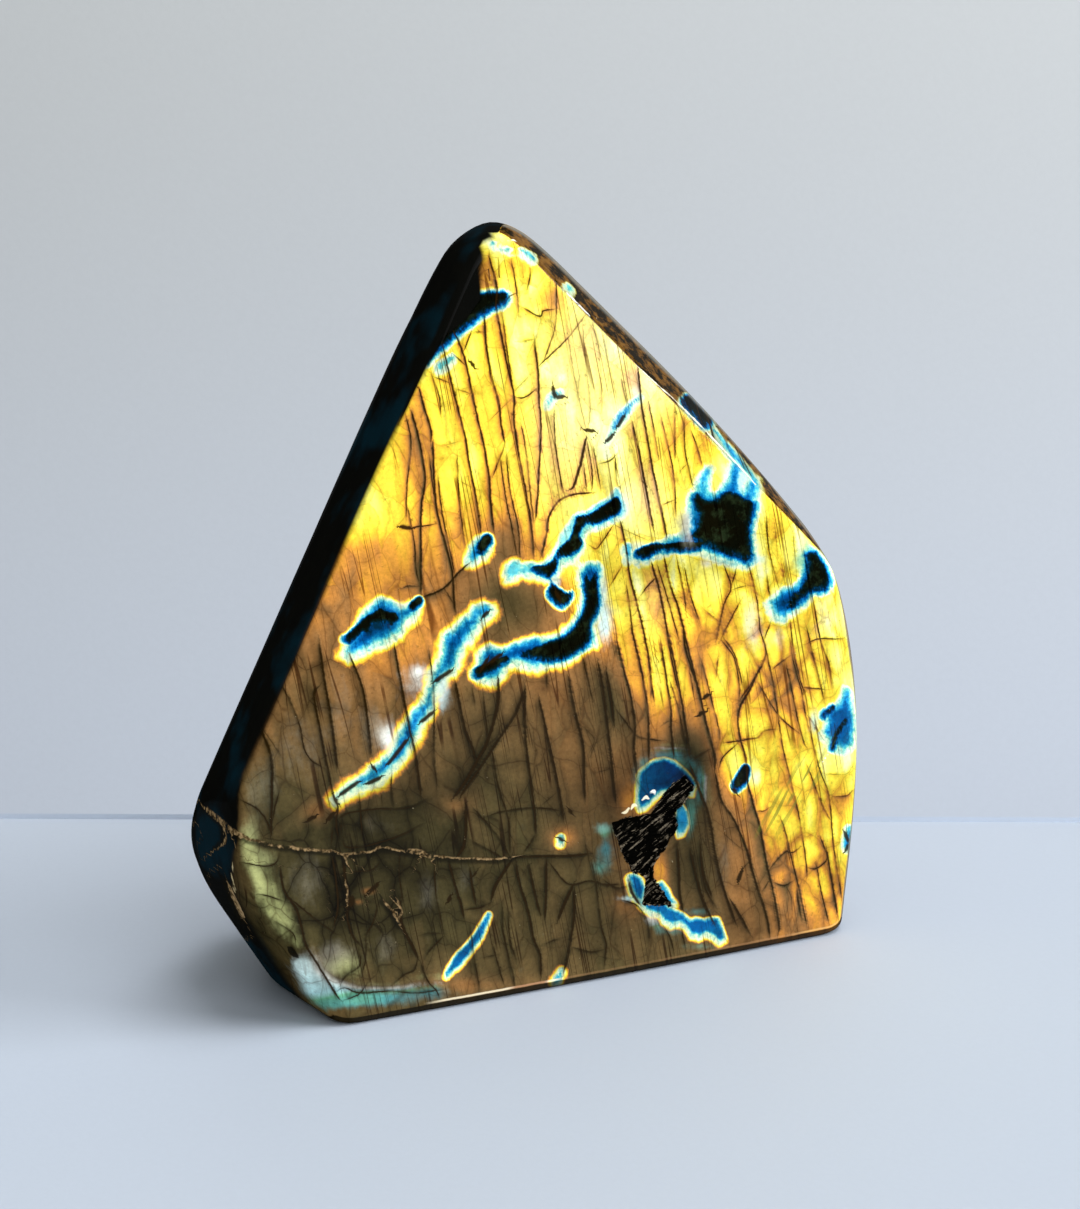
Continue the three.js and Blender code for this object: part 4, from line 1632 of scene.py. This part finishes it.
def bodied(n, colour, at, rock, settings):
    """The dark body where the flash dies out, teal on the left, and the thin lines over both: painted
    highlights, flecks, scratches and notches.
    """
    body = n.mix(rock.small, tuple(settings.body_colour) + (1,), paint("body"))
    teal = n.times(n.step(rock.broad, 0.45, 0.62), n.step(at.left, -0.5, 0.5, 0.0, 0.6))
    body = n.mix(teal, body, paint("teal body"))
    colour = n.mix(n.step(at.glow, 0.02, 0.4), body, colour)
    # Painted highlights along the bevel's crease and at the tip, with the stone's flecks, scratches and
    # notches
    glint = n.step(n.scaled(rock.wobble, 1.6, at.glint_far), -0.3, 0.5, 1.0, 0.0)
    return n.mix(n.times(glint, 0.85), colour, n.tones(at.glint_tone, GLINT_TONES))


def healed(n, colour, place, at, rock):
    """The healed crack, crumbly and tan, with a dark band along it."""
    far = n.scaled(rock.wobble, 5.0, at.healed_far)
    seam = n.step(n.less(n.math("ABSOLUTE", far), n.times(at.healed_mark, 0.42)), -0.6, 0.8, 1.0, 0.0)
    seam = n.times(seam, n.step(at.healed_mark, 0.5, 1.5), n.step(n.noise(place, 700, 2, 0.5), 0.38, 0.52))
    band = n.step(n.math("ABSOLUTE", n.math("ADD", far, 2.0)), 1.0, 5.0, 0.75, 0.0)
    colour = n.mix(band, colour, paint("beside the healed crack"))
    tan = n.mix(n.step(rock.tiny, 0.35, 0.65), paint("healed crack, dark"), paint("healed crack, tan"))
    return n.mix(n.times(seam, 0.85), colour, tan)


def labradorite_finish(settings):
    """The polished labradorite: flash, veins, haze, cracks, the healed crack and the rough pocket."""
    material = bpy.data.materials.new("polished_labradorite")
    material.use_nodes = True
    tree = material.node_tree
    tree.nodes.clear()
    n = Nodes(tree)
    place = n.add("ShaderNodeTexCoord", out=3)
    at = read_fields(n)
    rock = rock_noises(n, place)
    line, stain = cleavage_cracks(n, place, rock)
    long_cells, round_cells = stone_cells(n, place)
    hollow = n.times(n.less(1.0, round_cells.crown), n.scaled(at.pillowed, 0.85, 0.15))
    in_brown = n.step(at.background, 0.72, 0.86)
    phase, vein = flash_phase(n, at, rock, long_cells, round_cells, hollow, stain)
    colour = flash_colour(n, place, at, rock, phase, vein)
    colour = shaded(n, colour, at, rock, long_cells, hollow, stain, in_brown)
    colour = cracked(n, colour, place, at, rock, long_cells, round_cells, line, stain, in_brown)
    colour = edged(n, colour, place, at, rock, vein)
    colour = bodied(n, colour, at, rock, settings)
    colour = healed(n, colour, place, at, rock)

    # The rough pocket is black, with light caught on its ridges
    in_pocket = n.step(n.scaled(rock.wobble, 1.1, at.pocket), -0.2, 0.0)
    streaks = n.noise(n.stretched(place, -33, (7, 1, 1)), 2100, 2, 0.6)
    colour = n.mix(in_pocket, colour, n.mix(n.step(streaks, 0.54, 0.7), paint("pocket"), paint("lit ridge")))

    shader = tree.nodes.new("ShaderNodeBsdfPrincipled")
    n.put(colour, shader.inputs["Base Color"])
    shader.inputs["IOR"].default_value = 1.56
    shader.inputs["Specular IOR Level"].default_value = 0.0
    shader.inputs["Coat Roughness"].default_value = settings.polish
    n.put(n.scaled(in_pocket, 0.35, settings.body_roughness), shader.inputs["Roughness"])
    coat = n.scaled(at.dull_left, -0.125, 0.14)
    n.put(n.times(coat, n.less(1.0, in_pocket)), shader.inputs["Coat Weight"])
    # Painted glow: the stone's colour is given out again as emission, so it glows though it is no lamp
    n.put(colour, shader.inputs["Emission Color"])
    shader.inputs["Emission Strength"].default_value = settings.glow
    bump = tree.nodes.new("ShaderNodeBump")
    bump.inputs["Strength"].default_value = 0.25
    bump.inputs["Distance"].default_value = 0.0002
    n.put(n.scaled(line, -0.6, rock.tiny), bump.inputs["Height"])
    tree.links.new(bump.outputs[0], shader.inputs["Normal"])
    output = tree.nodes.new("ShaderNodeOutputMaterial")
    tree.links.new(shader.outputs[0], output.inputs[0])
    return material


class LABRADORITE_OT_camera(bpy.types.Operator):
    """Sets up the camera at the photograph's viewing angle"""

    bl_idname = "labradorite.camera"
    bl_label = "Camera"

    def execute(self, context):
        clear_selection()
        looks = (math.radians(90 - CAMERA_DOWN), 0, math.radians(-CAMERA_TURN))
        bpy.ops.object.camera_add(location=CAMERA_PLACE, rotation=looks)
        camera = context.object
        camera.name = "photo_camera"
        camera.data.sensor_width = SENSOR_MM
        camera.data.lens = FOCAL_PX / FRAME_PX[1] * SENSOR_MM
        context.scene.camera = camera
        context.scene.view_settings.view_transform = "Standard"
        return {"FINISHED"}


class LABRADORITE_OT_stone(bpy.types.Operator):
    """Grinds, polishes and paints the stone"""

    bl_idname = "labradorite.stone"
    bl_label = "Stone"

    def execute(self, context):
        settings = context.scene.labradorite_stone
        block = sawn_block(settings)
        mesh = block.data
        points = np.empty(len(mesh.vertices) * 3)
        mesh.vertices.foreach_get("co", points)
        raw = ground(points.reshape(-1, 3) / MM)
        leads = {
            "front": lead(raw, ["front"]),
            "bevel": lead(raw, ["top right edge"]),
            "base": lead(raw, ["base"]),
            "left": lead(raw, LEFT_FACETS),
            "right": lead(raw, RIGHT_FACETS),
        }
        cut, inside_pocket = pocket_cut(raw, smooth_step(-0.5, 0.5, leads["front"]))
        raw = raw - facing(*FACETS["front"][:2]) * cut[:, None]
        raw[:, 2] = np.maximum(raw[:, 2], -HEART[2])
        centred = (raw + np.array(HEART)) * MM
        middle = (np.array(STONE_BOX[0]) + np.array(STONE_BOX[1])) / 2
        shift = middle - (centred.min(0) + centred.max(0)) / 2
        centred[:, :2] += shift[:2]
        mesh.vertices.foreach_set("co", centred.astype(np.float32).ravel())
        paint_fields(mesh, settings, raw, centred, leads, inside_pocket)
        mesh.update()
        clear_selection()
        block.select_set(True)
        context.view_layer.objects.active = block
        bpy.ops.object.shade_smooth_by_angle(angle=math.radians(30))
        mesh.materials.append(labradorite_finish(settings))
        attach(block, BODY)
        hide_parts(STONE_NODE)
        return {"FINISHED"}


def plain_finish(name, colour, far_colour, way, reach, roughness, grain_size, grain_depth):
    """A matt, finely grained finish whose colour changes along one way, between two distances in metres."""
    material = bpy.data.materials.new(name)
    material.use_nodes = True
    n = Nodes(material.node_tree)
    shader = material.node_tree.nodes["Principled BSDF"]
    place = n.add("ShaderNodeTexCoord", out=3)
    fine = n.noise(place, grain_size, 4, 0.6)
    along = n.add("ShaderNodeVectorMath", place, way, operation="DOT_PRODUCT", out=1)
    colour = n.mix(n.step(along, *reach), tuple(colour) + (1,), tuple(far_colour) + (1,))
    n.put(n.mix(n.step(fine, 0.3, 0.7, 0.015, 0.0), colour, (0, 0, 0, 1)), shader.inputs["Base Color"])
    shader.inputs["Roughness"].default_value = roughness
    bump = material.node_tree.nodes.new("ShaderNodeBump")
    bump.inputs["Strength"].default_value = 0.2
    bump.inputs["Distance"].default_value = grain_depth
    n.put(fine, bump.inputs["Height"])
    material.node_tree.links.new(bump.outputs[0], shader.inputs["Normal"])
    return material


def stage_point(right, away, up=0.0):
    """A point of the stage from its distances to the camera's right, away from the camera, and up."""
    sine, cosine = math.sin(math.radians(CAMERA_TURN)), math.cos(math.radians(CAMERA_TURN))
    return Vector((right * cosine + away * sine, -right * sine + away * cosine, up))


def stage_sheet(name, corners):
    """A flat sheet through four corners, started from a plane."""
    clear_selection()
    bpy.ops.mesh.primitive_plane_add(size=1)
    sheet = bpy.context.object
    sheet.name = name
    for vertex, corner in zip([sheet.data.vertices[i] for i in (0, 1, 3, 2)], corners):
        vertex.co = corner
    sheet.data.update()
    return sheet


def set_table(settings):
    """The table top, painted darker towards the right, and a thin strip standing along its back edge that
    stands in for the shade there.
    """
    reach = TABLE_REACH
    front = [stage_point(reach["left"], reach["front"]), stage_point(reach["right"], reach["front"])]
    back = [stage_point(reach["left"], reach["back_left"]), stage_point(reach["right"], reach["back_right"])]
    table = stage_sheet("table_top", front + back[::-1])
    near = settings.floor_colour
    # Painted shade: the table's colour darkens towards the right
    far = [v * TABLE_RIGHT_PAINTED_SHADE for v in near]
    finish = plain_finish("table_paper", near, far, stage_point(1, 0), (-0.1, 0.14), 0.6, 900, 0.0001)
    table.data.materials.append(finish)
    # A strip standing along the table's back edge, put there to stand in for the shade along it
    raised = [corner + Vector((0, 0, SHADOW_STRIP_HIGH)) for corner in back]
    line = stage_sheet("table_back_shadow_strip", back + raised[::-1])
    shade = [v * SHADOW_STRIP_SHARE for v in near]
    finish = plain_finish("table_back_shade", shade, shade, (0, 0, 1), (-1, 1), 0.9, 900, 0.0001)
    line.data.materials.append(finish)
    return table, line


def set_wall(settings):
    ends = [(side, level) for level in ("low", "high") for side in ("left", "right")]
    corners = [stage_point(WALL[side], WALL["away"], WALL[level]) for side, level in ends]
    wall = stage_sheet("wall", [corners[i] for i in (0, 1, 3, 2)])
    # Painted shade: the wall's colour turns darker and less blue towards its top
    top = [v * c for v, c in zip(settings.wall_colour, WALL_TOP_PAINTED_SHADE)]
    finish = plain_finish("wall_paint", settings.wall_colour, top, (0, 0, 1), (-0.35, 0.2), 0.9, 300, 0.0002)
    wall.data.materials.append(finish)
    return wall


def set_lamp(name, place, aim, size, power, colour):
    clear_selection()
    bpy.ops.object.light_add(type="AREA", location=place)
    lamp = bpy.context.object
    lamp.name = name
    lamp.data.shape = "SQUARE"
    lamp.data.size = size
    lamp.data.energy = power
    lamp.data.color = colour
    lamp.rotation_euler = (aim - place).to_track_quat("-Z", "Y").to_euler()


def set_sky(settings):
    """An even light all round, dark where the polish would mirror it, and pale where the camera sees it."""
    world = bpy.data.worlds.new("studio")
    bpy.context.scene.world = world
    world.use_nodes = True
    world.node_tree.nodes.clear()
    n = Nodes(world.node_tree)
    paths = world.node_tree.nodes.new("ShaderNodeLightPath")
    seen = n.add("ShaderNodeBackground", (0.56, 0.61, 0.68, 1), 1.0)
    even = n.add("ShaderNodeBackground", (0.87, 0.89, 0.84, 1), settings.sky)
    mirrored = n.add("ShaderNodeBackground", (0.75, 0.85, 1.0, 1), 0.03)
    first = n.add("ShaderNodeMixShader", paths.outputs["Is Glossy Ray"], even, mirrored)
    both = n.add("ShaderNodeMixShader", paths.outputs["Is Camera Ray"], first, seen)
    n.put(both, world.node_tree.nodes.new("ShaderNodeOutputWorld").inputs[0])


class LABRADORITE_OT_stage(bpy.types.Operator):
    """Sets up the table, the wall and the lights"""

    bl_idname = "labradorite.stage"
    bl_label = "Stage"

    def execute(self, context):
        settings = context.scene.labradorite_stage
        table, line = set_table(settings)
        wall = set_wall(settings)
        powers = (settings.key_power, settings.fill_power, settings.wash_power)
        for power, (name, (place, aim, size, colour)) in zip(powers, LAMPS.items()):
            set_lamp(name, stage_point(*place), stage_point(*aim), size, power, colour)
        set_sky(settings)
        return {"FINISHED"}


class LABRADORITE_PT_panel(bpy.types.Panel):
    """The sizes, finishes and lights that can be set, with a button for each step"""

    bl_label = "Labradorite"
    bl_idname = "LABRADORITE_PT_panel"
    bl_space_type = "VIEW_3D"
    bl_region_type = "UI"
    bl_category = "Labradorite"

    def draw(self, context):
        layout = self.layout
        for title, group, operators in (
            ("Stone", context.scene.labradorite_stone, ("labradorite.stone",)),
            ("Stage", context.scene.labradorite_stage, ("labradorite.camera", "labradorite.stage")),
        ):
            box = layout.box()
            box.label(text=title)
            for name in group.bl_rna.properties.keys():
                if name not in ("rna_type", "name"):
                    box.prop(group, name)
            for operator in operators:
                box.operator(operator)


CLASSES = (
    LabradoriteStone,
    LabradoriteStage,
    LABRADORITE_OT_camera,
    LABRADORITE_OT_stone,
    LABRADORITE_OT_stage,
    LABRADORITE_PT_panel,
)


def register():
    for cls in CLASSES:
        bpy.utils.register_class(cls)
    bpy.types.Scene.labradorite_stone = bpy.props.PointerProperty(type=LabradoriteStone)
    bpy.types.Scene.labradorite_stage = bpy.props.PointerProperty(type=LabradoriteStage)


def unregister():
    del bpy.types.Scene.labradorite_stage
    del bpy.types.Scene.labradorite_stone
    for cls in reversed(CLASSES):
        bpy.utils.unregister_class(cls)


def main():
    register()
    bpy.ops.labradorite.camera()
    bpy.ops.labradorite.stone()
    bpy.ops.labradorite.stage()


if __name__ == "__main__":
    main()
